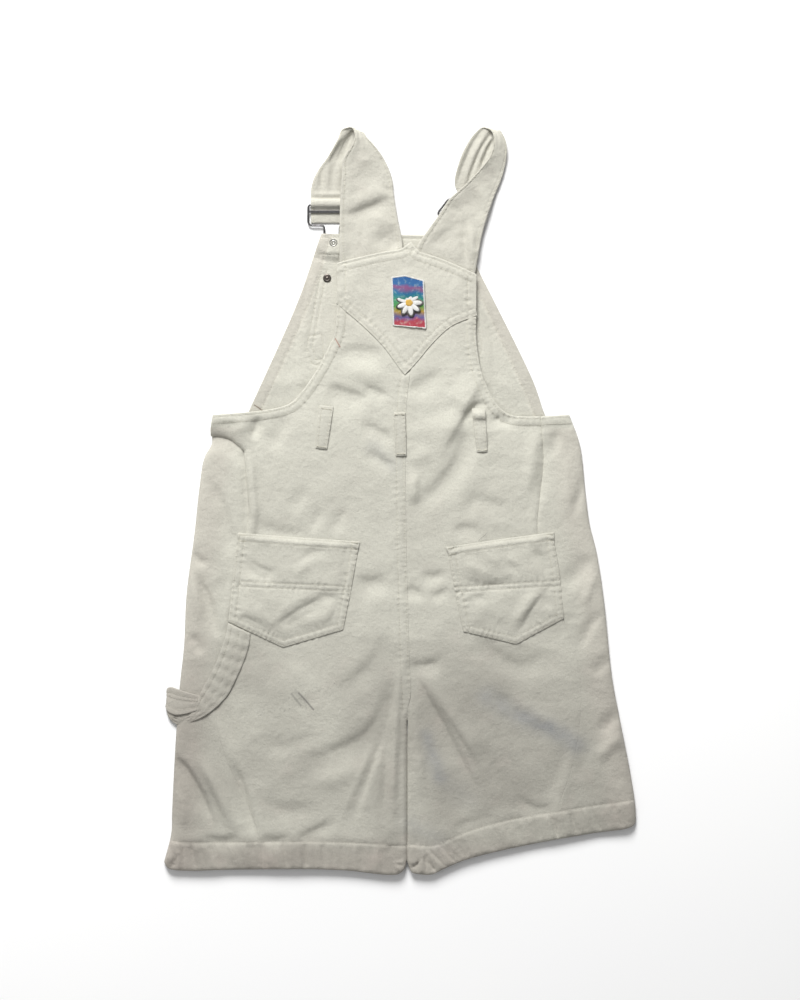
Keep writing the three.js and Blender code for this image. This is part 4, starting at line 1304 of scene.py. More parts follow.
POUCH_RIGHT = [
    (-2.3, 6, 11, [(146, -168), (162, -146), (180, -120), (194, -102)]),
    (1.3, 7, 6, [(140, -160), (156, -134), (174, -110)]),
    (-1.2, 5, 7, [(118, -72), (136, -80), (150, -96)]),
    (1.0, 6, 6, [(78, -76), (100, -88), (124, -92)]),
    (-1.1, 5, 6, [(176, -64), (182, -84), (180, -104)]),
    (-1.4, 6, 8, [(72, -88), (88, -102), (116, -106), (150, -98)]),
    (-1.3, 6, 6, [(162, -62), (174, -72), (182, -88)]),
    (-0.9, 5, 9, [(84, -118), (96, -122), (112, -118)]),
    (-1.0, 6, 8, [(96, -146), (122, -152), (142, -160)]),
    (0.8, 7, 8, [(96, -68), (126, -76), (156, -72)]),
]


def pocket_parts(outline, cross):
    """A pocket's mouth, its sewn edge and its rows of stitches."""
    mouth = straight(outline[:MOUTH_POINTS])
    edge = straight(outline[MOUTH_POINTS - 1 :] + outline[:1])
    rows = [beside(mouth, -2.0), beside(mouth, -9.6), beside(edge, -2.0), beside(edge, -8.4)]
    rows += [straight([(x, y + off) for x, y in cross]) for off in (0, -6.2)]
    return mouth, edge, rows


def pocket_height_on(mouth, edge, rows, pouch):
    def height(x, y):
        to_mouth = np.abs(nearest(mouth, x, y, 60)[0])
        to_edge = np.abs(nearest(edge, x, y, 60)[0])
        stand = ease((to_edge - 8) / 16) * ease((to_mouth + 4) / 12)
        level = body_height(x, y) + 0.05 + CLOTH
        level += stand * (2.0 + 0.6 * swells(x, y, 26, 41) + 0.8 * crinkle(x, y, 24, 91))
        level += np.maximum(1.5 * creases(x, y, pouch), -2.2 * stand)
        level += 0.3 * (1 - ease((to_edge - 8.4) / 1.6)) + 0.85 * (1 - ease((to_mouth - 10.4) / 1.2))
        ring_gap = np.minimum(to_mouth, to_edge)
        level -= 0.75 * (1 - quarter_round(ring_gap / 2.2))
        return level + sewn(x, y, rows[:2], 0.8, 0.3, 7.0) + sewn(x, y, rows[2:], 0.6, 0.5, 7.5)
    return height


def pocket_thickness_on(mouth, edge):
    def thickness(x, y):
        return SINGLE - 0.5 * (1 - ease(from_nearer(mouth, edge, x, y, 60) / 2.4))
    return thickness


POCKET_HEIGHT = {}
for side, outline, cross, pouch in (
    ("left", POCKET_LEFT, ((-207, -101), (-59, -108)), POUCH_LEFT),
    ("right", POCKET_RIGHT, ((66, -109), (200, -100)), POUCH_RIGHT),
):
    mouth, edge, rows = pocket_parts(outline, cross)
    POCKET_HEIGHT[side] = pocket_height_on(mouth, edge, rows, pouch)
    make_panel(
        f"pocket_back_{side}", np.array(outline, float), rows, POCKET_HEIGHT[side],
        pocket_thickness_on(mouth, edge), TWILL, 2.1,
    )

# %% [markdown]
# ## Straps, loops and tabs
# A strap is a long band that turns in space, so it is lofted: a list of cross lines, each with its
# two ends in millimetres, and a smooth surface through them. Creases are then added along the
# surface's own direction. The same tool makes the belt loops and the hammer loop.

# %% Bands through cross lines
def smooth_through(stations, count):
    """Evenly spaced stations on the smooth line through rows of numbers."""
    p = with_ends(stations)
    gaps = np.linalg.norm(np.diff((p[:, 0:3] + p[:, 3:6]) / 2, axis=0), axis=1)
    gaps = np.sqrt(np.maximum(gaps, 0.5))
    rows = [p[1]]
    for k in range(1, len(p) - 2):
        rows += [span(*p[k - 1 : k + 3], gaps[k - 1 : k + 2], t) for t in np.linspace(0, 1, 25)[1:]]
    rows = np.array(rows)
    at = lengths_along((rows[:, 0:3] + rows[:, 3:6]) / 2)
    wanted = np.linspace(0, at[-1], count)
    return np.column_stack([np.interp(wanted, at, rows[:, k]) for k in range(6)]), at[-1]


def loft(stations, across, step=2.0, relief=None):
    """A net of points through cross lines. relief(u, v, points) gives heights along the surface."""
    _, length = smooth_through(stations, 10)
    count = max(8, round(length / step))
    lines, length = smooth_through(stations, count)
    v = np.linspace(-1, 1, across)
    v = np.sign(v) * np.abs(v) ** 0.85
    mix = ((v + 1) / 2)[None, :, None]
    net = lines[:, None, 0:3] * (1 - mix) + lines[:, None, 3:6] * mix
    u = np.linspace(0, length, count)[:, None] * np.ones(across)
    vv = np.ones(count)[:, None] * v
    points = net.reshape(-1, 3)
    i = np.arange(count * across).reshape(count, across)
    a, b, c, d = (k.ravel() for k in (i[:-1, :-1], i[:-1, 1:], i[1:, 1:], i[1:, :-1]))
    faces = np.vstack([np.column_stack([a, b, c]), np.column_stack([a, c, d])])
    if surface_directions(points, faces)[: across * 3, 2].mean() < 0:
        faces = faces[:, ::-1]
    if relief is not None:
        out = surface_directions(points, faces)
        points = points + out * relief(u.ravel(), vv.ravel(), points)[:, None]
    return points, faces, (count, across, length)


def thread_on_loft(points, faces, shape, columns, lift=0.7):
    """Rows of stitches along a band, on both of its sides."""
    count, across, _ = shape
    out = surface_directions(points, faces)
    for column in columns:
        index = np.arange(count)[2:-2] * across + column
        THREAD.append(points[index] + lift * out[index])
        THREAD.append(points[index] - lift * out[index])


def band_colouring(shift):
    """The garment's soiling with a little more grey."""
    def colouring(x, y):
        soil, warm, blue = soiling(x, y)
        return soil + shift, warm, blue
    return colouring

# %% Where the buckles lie, and the left strap's cross lines and creases
WIRE_Z = 3.4
BUCKLES = {"left": (-88.0, 356.0, 0.0), "right": (75.0, 351.0, math.radians(-38))}
STRAP_HALF = 23


def in_buckle(side, across, along):
    """A place on the garment from one across and along a buckle."""
    x, y, turn = BUCKLES[side]
    return (
        x + math.cos(turn) * across - math.sin(turn) * along,
        y + math.sin(turn) * across + math.cos(turn) * along,
    )


def strap_tail(side):
    """The lower end: over the top wire, under the slider bar, and ending short of the lower wire."""
    return [
        (*in_buckle(side, -STRAP_HALF, along), z, *in_buckle(side, STRAP_HALF, along), z)
        for along, z in (
            (24, 1.2), (20, 2.4), (16.5, 5.0), (13.4, 6.1), (11.2, 5.6), (8.6, 3.0), (5.5, 1.5),
            (1, 1.35), (-4, 1.4), (-10, 1.3),
        )
    ]


STRAP_LEFT = [
    (-74, 289, 7.5, 2, 305, 7.5), (-75, 300, 8.0, 3, 313, 7.4), (-75.5, 318, 9.0, 2, 326, 6.6),
    (-75, 345, 9.4, -3, 350, 5.4), (-74, 378, 9.6, -8, 381, 4.8), (-72, 405, 10.4, -11, 404, 4.8),
    (-70, 426, 11.6, -21, 427, 5.4), (-60, 441, 12.8, -33, 443, 7.0), (-56, 453, 12.4, -41, 451, 7.4),
    (-60, 464, 9.6, -46, 458, 5.6), (-71, 463, 7.0, -51, 455, 2.8), (-78, 450, 4.4, -52, 442, 1.6),
    (-89, 430, 2.6, -52, 425, 1.3), (-100, 415, 1.8, -56, 408, 1.2), (-108, 400, 1.6, -62, 394, 1.2),
    (-111, 387, 1.3, -65, 385, 1.2),
]
STRAP_LEFT_UPPER = [
    (-3.4, 6, 17, [(-82, 349), (-48, 360), (-2, 380)]),
    (1.6, 9, 9, [(-72, 366), (-44, 376), (-10, 392)]),
    (-1.3, 3, 4, [(-65, 352), (-63, 326), (-61, 294)]),
    (-1.1, 3, 4, [(-57, 350), (-56, 326), (-59, 298)]),
    (-1.0, 4, 4, [(-46, 352), (-48, 326), (-55, 300)]),
    (-3.2, 12, 10, [(-30, 340), (-20, 322), (2, 306)]),
    (1.4, 8, 8, [(-50, 356), (-30, 352), (-12, 348)]),
    (-1.6, 6, 8, [(-12, 346), (-8, 328), (-2, 312)]),
    (-1.1, 12, 12, [(-60, 408), (-38, 404), (-18, 396)]),
    (0.9, 9, 9, [(-58, 420), (-42, 424), (-30, 424)]),
    (-1.0, 3, 4, [(-26, 392), (-16, 388), (-4, 386)]),
    (-0.9, 5, 6, [(-60, 392), (-56, 376), (-58, 362)]),
]
STRAP_LEFT_LOWER = [
    (1.3, 3, 3, [(-101, 420), (-104, 400), (-104, 382)]),
    (-1.0, 3, 3, [(-96, 424), (-98, 402), (-98, 382)]),
    (1.4, 3, 3, [(-88, 432), (-91, 404), (-91, 380)]),
    (-1.0, 3, 3, [(-82, 424), (-84, 402), (-84, 382)]),
    (1.2, 3, 3, [(-76, 430), (-77, 404), (-77, 382)]),
    (3.0, 3.5, 3, [(-60, 470), (-72, 455), (-84, 438), (-98, 412)]),
    (-3.0, 3.5, 3.5, [(-58, 462), (-66, 448), (-72, 434), (-80, 418)]),
    (1.5, 2.4, 2.4, [(-122, 383), (-88, 381.5), (-56, 383)]),
    (-1.6, 2.0, 2.0, [(-122, 378), (-88, 376.5), (-56, 378)]),
    (1.2, 1.8, 1.8, [(-122, 374), (-88, 373), (-56, 374)]),
]

# %% The right strap's cross lines and creases
STRAP_RIGHT = [
    (20, 299, 7.5, 91, 273, 7.5), (20, 308, 8.4, 94, 286, 8.0), (24, 320, 10.0, 97, 304, 8.6),
    (37, 339, 10.2, 102, 331, 8.0), (50, 357, 10.2, 109, 355, 6.8), (62, 375, 10.2, 117, 378, 5.6),
    (81, 392, 10.4, 126, 400, 5.2), (100, 412, 11.0, 131.5, 420, 5.4), (113, 429, 11.8, 133, 437, 6.4),
    (117, 446, 11.8, 131, 449, 7.4), (114, 460, 9.4, 125, 460, 6.6), (104, 465, 5.8, 122, 459, 3.4),
    (93, 457, 5.0, 123, 445, 2.0), (80, 437, 4.4, 121, 424, 1.8), (71, 412, 3.0, 116, 398, 1.5),
    (68.5, 395, 1.6, 112, 374, 1.2),
]
STRAP_RIGHT_UPPER = [
    (-1.9, 5, 9, [(84, 392), (97, 368), (106, 344)]),
    (1.3, 7, 7, [(96, 398), (108, 372), (112, 350)]),
    (-2.4, 8, 14, [(30, 312), (54, 328), (84, 348)]),
    (-3.0, 3.5, 6, [(80, 352), (81, 324), (84, 286)]),
    (2.4, 4, 4, [(88, 350), (90, 322), (91, 288)]),
    (-1.4, 5, 8, [(62, 372), (76, 352), (84, 330)]),
    (-1.2, 9, 10, [(52, 352), (72, 362), (96, 362)]),
    (-1.2, 5, 6, [(104, 418), (116, 404), (124, 390)]),
    (0.9, 8, 8, [(100, 336), (104, 352), (112, 372)]),
]
STRAP_RIGHT_LOWER = [
    (1.7, 2.6, 2.0, [(76, 380), (86, 414), (97, 440), (112, 462), (124, 470)]),
    (1.9, 2.2, 1.8, [(92, 396), (99, 424), (107, 442), (118, 456), (126, 462)]),
    (-1.5, 1.8, 2.0, [(78, 376), (91, 414), (101, 437), (114, 456), (124, 466)]),
    (1.2, 2.6, 2.0, [(64, 386), (74, 420), (86, 446), (98, 466)]),
    (-1.0, 2.0, 2.0, [(66, 380), (80, 420), (91, 444), (104, 466)]),
    (-3.4, 2.0, 2.6, [(100, 412), (106, 430), (112, 443), (117, 454)]),
]

# %% Shoulder straps
STRAP_TURN_Y = 456


def strap_relief(upper, lower, gather):
    """Creases of the upper and lower halves, and the gathers where the strap turns over."""
    def relief(u, v, points):
        x, y, z = points.T
        top = u < u[np.argmax(y)]
        height = np.where(top, creases(x, y, upper), -np.maximum(creases(x, y, lower), -1.8))
        gathers = gather * np.exp(-(((y - STRAP_TURN_Y) / 16) ** 2)) * np.sin(v * 7.5 + 0.6)
        fine = 0.3 * swells(x, y, 13, 51) + 0.18 * swells(x, y, 6, 52)
        edge = 0.34 * np.exp(-(((np.abs(v) - 0.9) / 0.06) ** 2)) * np.sin(u * 0.9 + 3 * np.sin(u / 19) + v)
        edge = edge * (0.6 + 0.4 * swells(x, y, 21, 53))
        groove = -0.45 * np.exp(-(((np.abs(v) - 0.84) / 0.04) ** 2))
        broad = 0.7 * crinkle(x, y, 26, 81)
        calm = np.where(top, 1.0, ease((z - 0.5) / 6) * 0.7 + 0.3)
        return height + gathers + (fine + edge + groove + broad) * calm
    return relief


for side, stations, upper, lower, gather, grey in (
    ("left", STRAP_LEFT, STRAP_LEFT_UPPER, STRAP_LEFT_LOWER, 0.45, 0.24),
    ("right", STRAP_RIGHT, STRAP_RIGHT_UPPER, STRAP_RIGHT_LOWER, 0.35, 0.22),
):
    points, faces, shape = loft(stations + strap_tail(side), 31, 1.9, strap_relief(upper, lower, gather))
    points[:, 2] = np.maximum(points[:, 2], LYING)
    cloth_piece(f"strap_{side}", points, faces, CLOTH, TWILL, band_colouring(grey))
    thread_on_loft(points, faces, shape, (2, 28))
    print(side, "strap length mm:", round(shape[2]))

# %% Belt loops
BELT_LOOP_THICKNESS = 1.0
BELT_LOOPS = {
    "left": ((-100, 118), (-83, 116), (-91, 63), (-105, 65)),
    "center": ((-7.5, 109), (6.5, 109), (8, 55), (-5, 55)),
    "right": ((89.5, 114), (106, 113), (109, 60), (96, 60)),
}
LOOP_PROFILES = {
    "left": ((0, 0.6), (0.06, 0.7), (0.25, 1.1), (0.6, 1.1), (0.92, 0.7), (1, 0.6)),
    "center": ((0, 1.1), (0.06, 1.2), (0.3, 1.6), (0.62, 1.7), (0.93, 1.2), (1, 1.1)),
    "right": (
        (0, 0.7), (0.05, 1.5), (0.11, 2.5), (0.19, 2.6), (0.25, 1.2), (0.34, 0.9), (0.6, 1.7), (0.93, 0.8),
        (1, 0.6),
    ),
}
for side, (top_left, top_right, low_right, low_left) in BELT_LOOPS.items():
    stations = []
    for t, rise in LOOP_PROFILES[side]:
        left = [top_left[k] + (low_left[k] - top_left[k]) * t for k in (0, 1)]
        right = [top_right[k] + (low_right[k] - top_right[k]) * t for k in (0, 1)]
        stations.append((
            *left, at_point(body_height, *left) + rise, *right, at_point(body_height, *right) + rise,
        ))

    def loop_relief(u, v, points):
        puffed = 1.0 + 1.7 * np.exp(-(((u - 8.5) / 5) ** 2))
        crown = (puffed if side == "right" else 0.5) * (1 - v**2)
        grooves = -0.3 * np.exp(-(((np.abs(v) - 0.62) / 0.12) ** 2))
        return crown + grooves + 0.18 * np.sin(u * 1.1 + 2 * v) * np.abs(v)

    points, faces, shape = loft(stations, 13, 1.3, loop_relief)
    cloth_piece(f"belt_loop_{side}", points, faces, BELT_LOOP_THICKNESS, TWILL, band_colouring(0.14))
    thread_on_loft(points, faces, shape, (2, 10), 0.58)

# %% Hammer loop
def over_back(entries):
    """Cross lines whose heights are given over the back."""
    return [
        (ax, ay, at_point(body_height, ax, ay) + az, bx, by, at_point(body_height, bx, by) + bz)
        for ax, ay, az, bx, by, bz in entries
    ]


LOOP_DOWN = over_back([
    (-214.0, -153.5, 0.9, -187.0, -166.5, 0.9), (-217, -168, 1.0, -188, -178, 0.8),
    (-224, -190, 1.4, -194, -199, 0.9), (-232, -210, 1.7, -204, -222, 1.2),
]) + [
    (-241, -227, 9.7, -215, -243, 9.5), (-249, -242, 9.8, -230, -259, 9.6),
    (-255, -256, 8.8, -246, -270.5, 9.0), (-262, -265, 8.0, -262, -277, 7.4),
    (-274, -268, 6.6, -278, -280, 4.6), (-285, -264, 4.4, -288, -272, 3.4),
    (-290, -257, 3.0, -291.5, -262, 2.6),
]
LOOP_END = [
    (-249, -244.5, 9.2, -250, -261, 9.4), (-258, -242, 9.8, -259, -264, 9.8),
    (-268, -239, 9.5, -270, -267, 9.3), (-279, -235.5, 8.2, -281.5, -267.5, 7.8),
    (-286.5, -233.5, 6.0, -289, -264, 5.8), (-291, -236, 3.8, -292.5, -259, 3.6),
    (-289.5, -238.5, 2.2, -290.5, -256.5, 2.2), (-286, -240, 1.4, -286.5, -255, 1.4),
]


def stitched(v, places):
    """1 on each of a band's rows of stitches, and 0 between them."""
    return sum(np.exp(-(((v - place) / 0.07) ** 2)) for place in places)


def loop_down_relief(u, v, points):
    puckers = 0.54 * np.sin(u * 2 * np.pi / 15.5 + 0.8) * (0.35 + 0.65 * np.cos(v * np.pi * 1.5) ** 2)
    return (puckers - 0.4 * stitched(v, (-0.62, 0.02, 0.64))) * ease(u / 12) + 0.8 * (1 - v**2)


def loop_end_relief(u, v, points):
    return -0.6 * stitched(v, (-0.55, -0.2, 0.55)) + 0.3 * np.sin(u * 0.8 + 3 * v)


down, down_faces, down_shape = loft(LOOP_DOWN, 23, 1.8, loop_down_relief)
thread_on_loft(down, down_faces, down_shape, (4, 11, 18))
end, end_faces, end_shape = loft(LOOP_END, 19, 1.8, loop_end_relief)
thread_on_loft(end, end_faces, end_shape, (4, 7, 14))
cloth_piece(
    "hammer_loop", np.vstack([down, end]), np.vstack([down_faces, end_faces + len(down)]), CLOTH, TWILL,
    band_colouring(0.05),
)

# %% [markdown]
# ## Woven badge
# The badge is a small woven piece with an overlocked white rim. It carries a plain daisy on bands of
# colour. The daisy's petals are one petal set round a circle with Geometry Nodes, the tool for
# anything that repeats.

# %% The badge's cloth
PATCH = [(-10, 277), (6, 279), (29, 273), (32, 214), (-8, 218)]
PATCH_THICKNESS = 0.7
WARP_PITCH = 0.0009
WEFT_PITCH = 0.0007


def patch_height(x, y):
    tent = 0.9 * np.exp(-(((x - 4) / 7) ** 2)) * ease((y - 216) / 30) + 0.5 * ease((x + 4) / 30)
    return yoke_height(x, y) + 1.25 + tent + 0.15 * swells(x, y, 12, 61)


def badge_look():
    look = Look("woven_badge")
    drift = look.noise(55, 4)
    fine = look.noise(260, 3)
    height = (look.y - 214 * MM) * (1 / (63 * MM)) + (drift - 0.5) * 0.28
    ramp = look.node("ShaderNodeValToRGB", {}, {0: height})
    stops = ramp.socket.node.color_ramp
    colours = (
        (0.00, (0.34, 0.035, 0.05)), (0.16, (0.32, 0.04, 0.06)), (0.23, (0.09, 0.08, 0.22)),
        (0.33, (0.36, 0.22, 0.03)), (0.42, (0.08, 0.26, 0.06)), (0.55, (0.03, 0.22, 0.13)),
        (0.68, (0.02, 0.13, 0.26)), (0.78, (0.20, 0.06, 0.16)), (0.85, (0.025, 0.11, 0.27)),
        (1.00, (0.02, 0.09, 0.25)),
    )
    while len(stops.elements) < len(colours):
        stops.elements.new(0.5)
    for element, (place, colour) in zip(stops.elements, colours):
        element.position = place
        element.color = (*colour, 1)
    speckle = look.mix((fine - 0.47) * 0.7, ramp, rgb(0.10, 0.30, 0.40), "ADD")
    tone = look.mix(fine.rise(0.5, 0.8) * 0.35, speckle, rgb(0.50, 0.48, 0.30))
    warp = (look.x * (2 * math.pi / WARP_PITCH)).sine()
    weft = (look.y * (2 * math.pi / WEFT_PITCH)).sine()
    return look.finish(
        Base_Color=tone, Roughness=0.5 + fine * 0.2, Specular_IOR_Level=0.3,
        Normal=look.bump(weft * 0.5 + warp * 0.5, 0.00006),
    )


make_panel("patch", np.array(PATCH, float), [], patch_height, PATCH_THICKNESS, badge_look(), 1.5)

# %% [markdown]
# ## Thread
# Stitches are the clearest case for Geometry Nodes: a row is a line, and one short bead of thread is
# set along it at every stitch, with a little random change of size from a fixed seed. The tree below
# has its sizes as inputs, and is used for the rows, the bartacks and the badge's rim.

# %% Thread look
TWIST_PITCH = 0.0005


def thread_look(name, colour):
    look = Look(name)
    twist = ((look.x + look.y) * (2 * math.pi / TWIST_PITCH)).sine()
    dust = look.noise(60, 3)
    tone = look.mix(dust.rise(0.3, 0.8) * 0.5, colour, rgb(0.42, 0.40, 0.34))
    tone = look.mix(look.y.rise(-0.42, 0.10) * -1 + 1, tone, rgb(0.38, 0.36, 0.31))
    return look.finish(
        Base_Color=tone, Roughness=0.62 + dust * 0.1, Normal=look.bump(twist, 0.00005), Sheen_Weight=0.1,
    )


THREAD_LOOK = thread_look("cotton_thread", rgb(0.60, 0.58, 0.48))
RIM_LOOK = thread_look("rim_thread", rgb(0.72, 0.72, 0.70))

# %% How a tree is made
def new_tree(name, sizes):
    """An empty tree that takes rows, sizes and a thread, and the method that adds a node to it."""
    tree = bpy.data.node_groups.new(name, "GeometryNodeTree")
    face = tree.interface
    face.new_socket("Rows", in_out="INPUT", socket_type="NodeSocketGeometry")
    for label, value in sizes:
        kind = "NodeSocketInt" if isinstance(value, int) else "NodeSocketFloat"
        face.new_socket(label, in_out="INPUT", socket_type=kind).default_value = value
    face.new_socket("Thread", in_out="INPUT", socket_type="NodeSocketMaterial")
    face.new_socket("Made", in_out="OUTPUT", socket_type="NodeSocketGeometry")

    def add(kind, settings=None, inputs=None):
        """A node. An input given as a node takes that node's first output."""
        node = tree.nodes.new(kind)
        for key, value in (settings or {}).items():
            setattr(node, key, value)
        for key, value in (inputs or {}).items():
            if isinstance(value, bpy.types.Node):
                value = value.outputs[0]
            if isinstance(value, bpy.types.NodeSocket):
                tree.links.new(value, node.inputs[key])
            else:
                node.inputs[key].default_value = value
        return node

    return tree, add


def end_tree(add, placed, thread):
    """Makes the placed copies real, smooths them and gives them their thread."""
    real = add("GeometryNodeRealizeInstances", {}, {0: placed})
    smooth = add("GeometryNodeSetShadeSmooth", {}, {0: real})
    done = add("GeometryNodeSetMaterial", {}, {"Geometry": smooth, "Material": thread})
    add("NodeGroupOutput", {}, {0: done})

# %% The stitching tree
def stitch_tree():
    """Rows of thread beads along the edges of a mesh."""
    tree, add = new_tree("stitching", (
        ("Pitch", 0.0034), ("Bead length", 0.0027), ("Thread radius", 0.00034), ("Turn", 0.0),
    ))
    given = add("NodeGroupInput").outputs
    curve = add("GeometryNodeMeshToCurve", {}, {0: given["Rows"]})
    spaced = add(
        "GeometryNodeResampleCurve", {"mode": "LENGTH"}, {"Curve": curve, "Length": given["Pitch"]}
    )
    tangent = add("GeometryNodeInputTangent")
    aligned = add("FunctionNodeAlignRotationToVector", {"axis": "X"}, {"Vector": tangent})
    jitter = add("FunctionNodeRandomValue", {"data_type": "FLOAT"}, {2: -0.07, 3: 0.07, "Seed": 5})
    turned = add("ShaderNodeMath", {"operation": "ADD"}, {0: given["Turn"], 1: jitter.outputs[1]})
    spin = add("ShaderNodeCombineXYZ", {}, {2: turned})
    rotated = add("FunctionNodeRotateRotation", {"rotation_space": "LOCAL"}, {0: aligned, 1: spin})
    ball = add("GeometryNodeMeshUVSphere", {}, {"Segments": 6, "Rings": 5, "Radius": 1.0})
    half = add("ShaderNodeMath", {"operation": "MULTIPLY"}, {0: given["Bead length"], 1: 0.5})
    thick = given["Thread radius"]
    shape = add("ShaderNodeCombineXYZ", {}, {0: half, 1: thick, 2: thick})
    bead = add("GeometryNodeTransform", {}, {"Geometry": ball, "Scale": shape})
    size = add("FunctionNodeRandomValue", {"data_type": "FLOAT"}, {2: 0.88, 3: 1.08, "Seed": 6})
    end_tree(add, add("GeometryNodeInstanceOnPoints", {}, {
        "Points": spaced, "Instance": bead, "Rotation": rotated, "Scale": size.outputs[1],
    }), given["Thread"])
    return tree


STITCHING = stitch_tree()


def run_tree(name, lines, tree, material, **sizes):
    """Runs a tree on lines of points (millimetres) and keeps the result as a plain mesh."""
    points = np.vstack(lines) * MM
    edges, start = [], 0
    for line in lines:
        edges += [(i, i + 1) for i in range(start, start + len(line) - 1)]
        start += len(line)
    mesh = bpy.data.meshes.new(name + "_rows")
    mesh.from_pydata(points.tolist(), edges, [])
    maker = in_scene(name + "_maker", mesh)
    modifier = maker.modifiers.new("tree", "NODES")
    modifier.node_group = tree
    for item in tree.interface.items_tree:
        if item.item_type == "SOCKET" and item.in_out == "INPUT":
            key = item.name.lower().replace(" ", "_")
            if key in sizes:
                modifier[item.identifier] = sizes[key]
            elif item.socket_type == "NodeSocketMaterial":
                modifier[item.identifier] = material
    bpy.context.view_layer.update()
    graph = bpy.context.evaluated_depsgraph_get()
    result = bpy.data.meshes.new_from_object(maker.evaluated_get(graph))
    result.name = name
    bpy.data.objects.remove(maker)
    piece = in_scene(name, result)
    if not result.materials:
        result.materials.append(material)
    print(name, "triangles:", sum(len(p.vertices) - 2 for p in result.polygons))
    return piece


topstitching = run_tree("topstitching", THREAD, STITCHING, THREAD_LOOK)
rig.ride(topstitching, "root")
print("rows of stitches:", len(THREAD))

# %% [markdown]
# ## Bartacks
# A bartack is a dense bar of thread that holds a point of strain: the mouths of the pockets and the
# ends of the belt loops. It is the same tree with a tight pitch and the beads turned across the line.

# %% Bartacks
BAR_LIFT = 0.35


def bar(a, b, height):
    """A short line on the cloth."""
    line = straight([a, b], 1.0)
    return np.column_stack([line, height(line[:, 0], line[:, 1]) + BAR_LIFT])


def loop_top(extra):
    """The height of a belt loop's end."""
    return lambda x, y: body_height(x, y) + extra


BARS = [
    bar(a, b, height) for height, ends in (
        (POCKET_HEIGHT["left"], (
            ((-200, -43.5), (-191, -44)), ((-61, -53), (-53, -53.5)),
            ((-201, -51), (-192, -51.5)), ((-62, -61), (-54, -61.5)),
        )),
        (POCKET_HEIGHT["right"], (
            ((60, -60.5), (68, -59.5)), ((182, -43.5), (190, -42.5)),
            ((61, -68), (69, -67)), ((183, -51), (191, -50)),
        )),
        (loop_top(1.4), (((-97, 114), (-85.5, 112.5)), ((-103.5, 67), (-92.5, 65.5)))),
        (loop_top(2.0), (((-6.5, 106.5), (5.5, 106.5)), ((-4, 57.5), (6.5, 57.5)))),
        (loop_top(1.4), (((97, 62.5), (108, 62.5)),)),
    ) for a, b in ends
]
bartacks = run_tree(
    "bartacks", BARS, STITCHING, THREAD_LOOK,
    pitch=0.00075, bead_length=0.0021, thread_radius=0.00036, turn=math.pi / 2,
)
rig.ride(bartacks, "root")

# %% Rim of the badge
patch_line = even(np.array(PATCH + PATCH[:1], float), 1.2)
rim_line = np.column_stack([patch_line, patch_height(patch_line[:, 0], patch_line[:, 1]) - 0.3])
badge_rim = run_tree(
    "badge_rim", [rim_line], STITCHING, RIM_LOOK,
    pitch=0.0007, bead_length=0.0024, thread_radius=0.0006, turn=math.pi / 2,
)
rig.ride(badge_rim, "root")

# %% Daisy
PETAL_THICKNESS = 0.0006


def petal_tree():
    """One petal per point of a circle."""
    tree, add = new_tree("daisy", (
        ("Petals", 9), ("Ring radius", 0.0090), ("Petal length", 0.0074), ("Petal width", 0.0031),
    ))
    given = add("NodeGroupInput").outputs
    circle = add(
        "GeometryNodeCurvePrimitiveCircle", {},
        {"Resolution": given["Petals"], "Radius": given["Ring radius"]},
    )
    tangent = add("GeometryNodeInputTangent")
    aligned = add("FunctionNodeAlignRotationToVector", {"axis": "Y"}, {"Vector": tangent})
    ball = add("GeometryNodeMeshUVSphere", {}, {"Segments": 12, "Rings": 7, "Radius": 1.0})
    shape = add(
        "ShaderNodeCombineXYZ", {}, {0: given["Petal length"], 1: given["Petal width"], 2: PETAL_THICKNESS}
    )
    petal = add("GeometryNodeTransform", {}, {"Geometry": ball, "Scale": shape})
    size = add("FunctionNodeRandomValue", {"data_type": "FLOAT"}, {2: 0.9, 3: 1.06, "Seed": 9})
    ring = add("GeometryNodeInstanceOnPoints", {}, {
        "Points": circle, "Instance": petal, "Rotation": aligned, "Scale": size.outputs[1],
    })
    end_tree(
        add, add("GeometryNodeInstanceOnPoints", {}, {"Points": given["Rows"], "Instance": ring}),
        given["Thread"],
    )
    return tree


BADGE_CENTRE = (11.5, 245.5)
centre_z = at_point(patch_height, *BADGE_CENTRE)
PETAL_LOOK = thread_look("petal_thread", rgb(0.74, 0.74, 0.72))
HEART_LOOK = thread_look("heart_thread", rgb(0.62, 0.36, 0.03))
OUTLINE_LOOK = thread_look("outline_thread", rgb(0.02, 0.02, 0.025))
FLOWER = petal_tree()
OUTLINE_SIZES = {"ring_radius": 0.0092, "petal_length": 0.0094, "petal_width": 0.0050}
HEART_SIZES = {"petals": 5, "ring_radius": 0.0018, "petal_length": 0.0030, "petal_width": 0.0030}
for name, material, lift, sizes in (
    ("daisy_outline", OUTLINE_LOOK, 0.10, OUTLINE_SIZES),
    ("daisy_petals", PETAL_LOOK, 0.45, {}),
    ("daisy_heart", HEART_LOOK, 0.75, HEART_SIZES),
):
    spot = np.array([[*BADGE_CENTRE, centre_z + lift]])
    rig.ride(run_tree(name, [spot], FLOWER, material, **sizes), "root")

# %% [markdown]
# ## Buckles, buttons and rivets
# The buckle is one bent wire: a wide frame for the strap, and below it a keyhole that hooks over the
# bib's button. It is swept round its path with many sides, so it looks like drawn wire and not like a
# bar. The slider is a pressed plate with a rolled edge. The tack backs and rivets are turned, with the
# rings and the dimple that a press leaves.

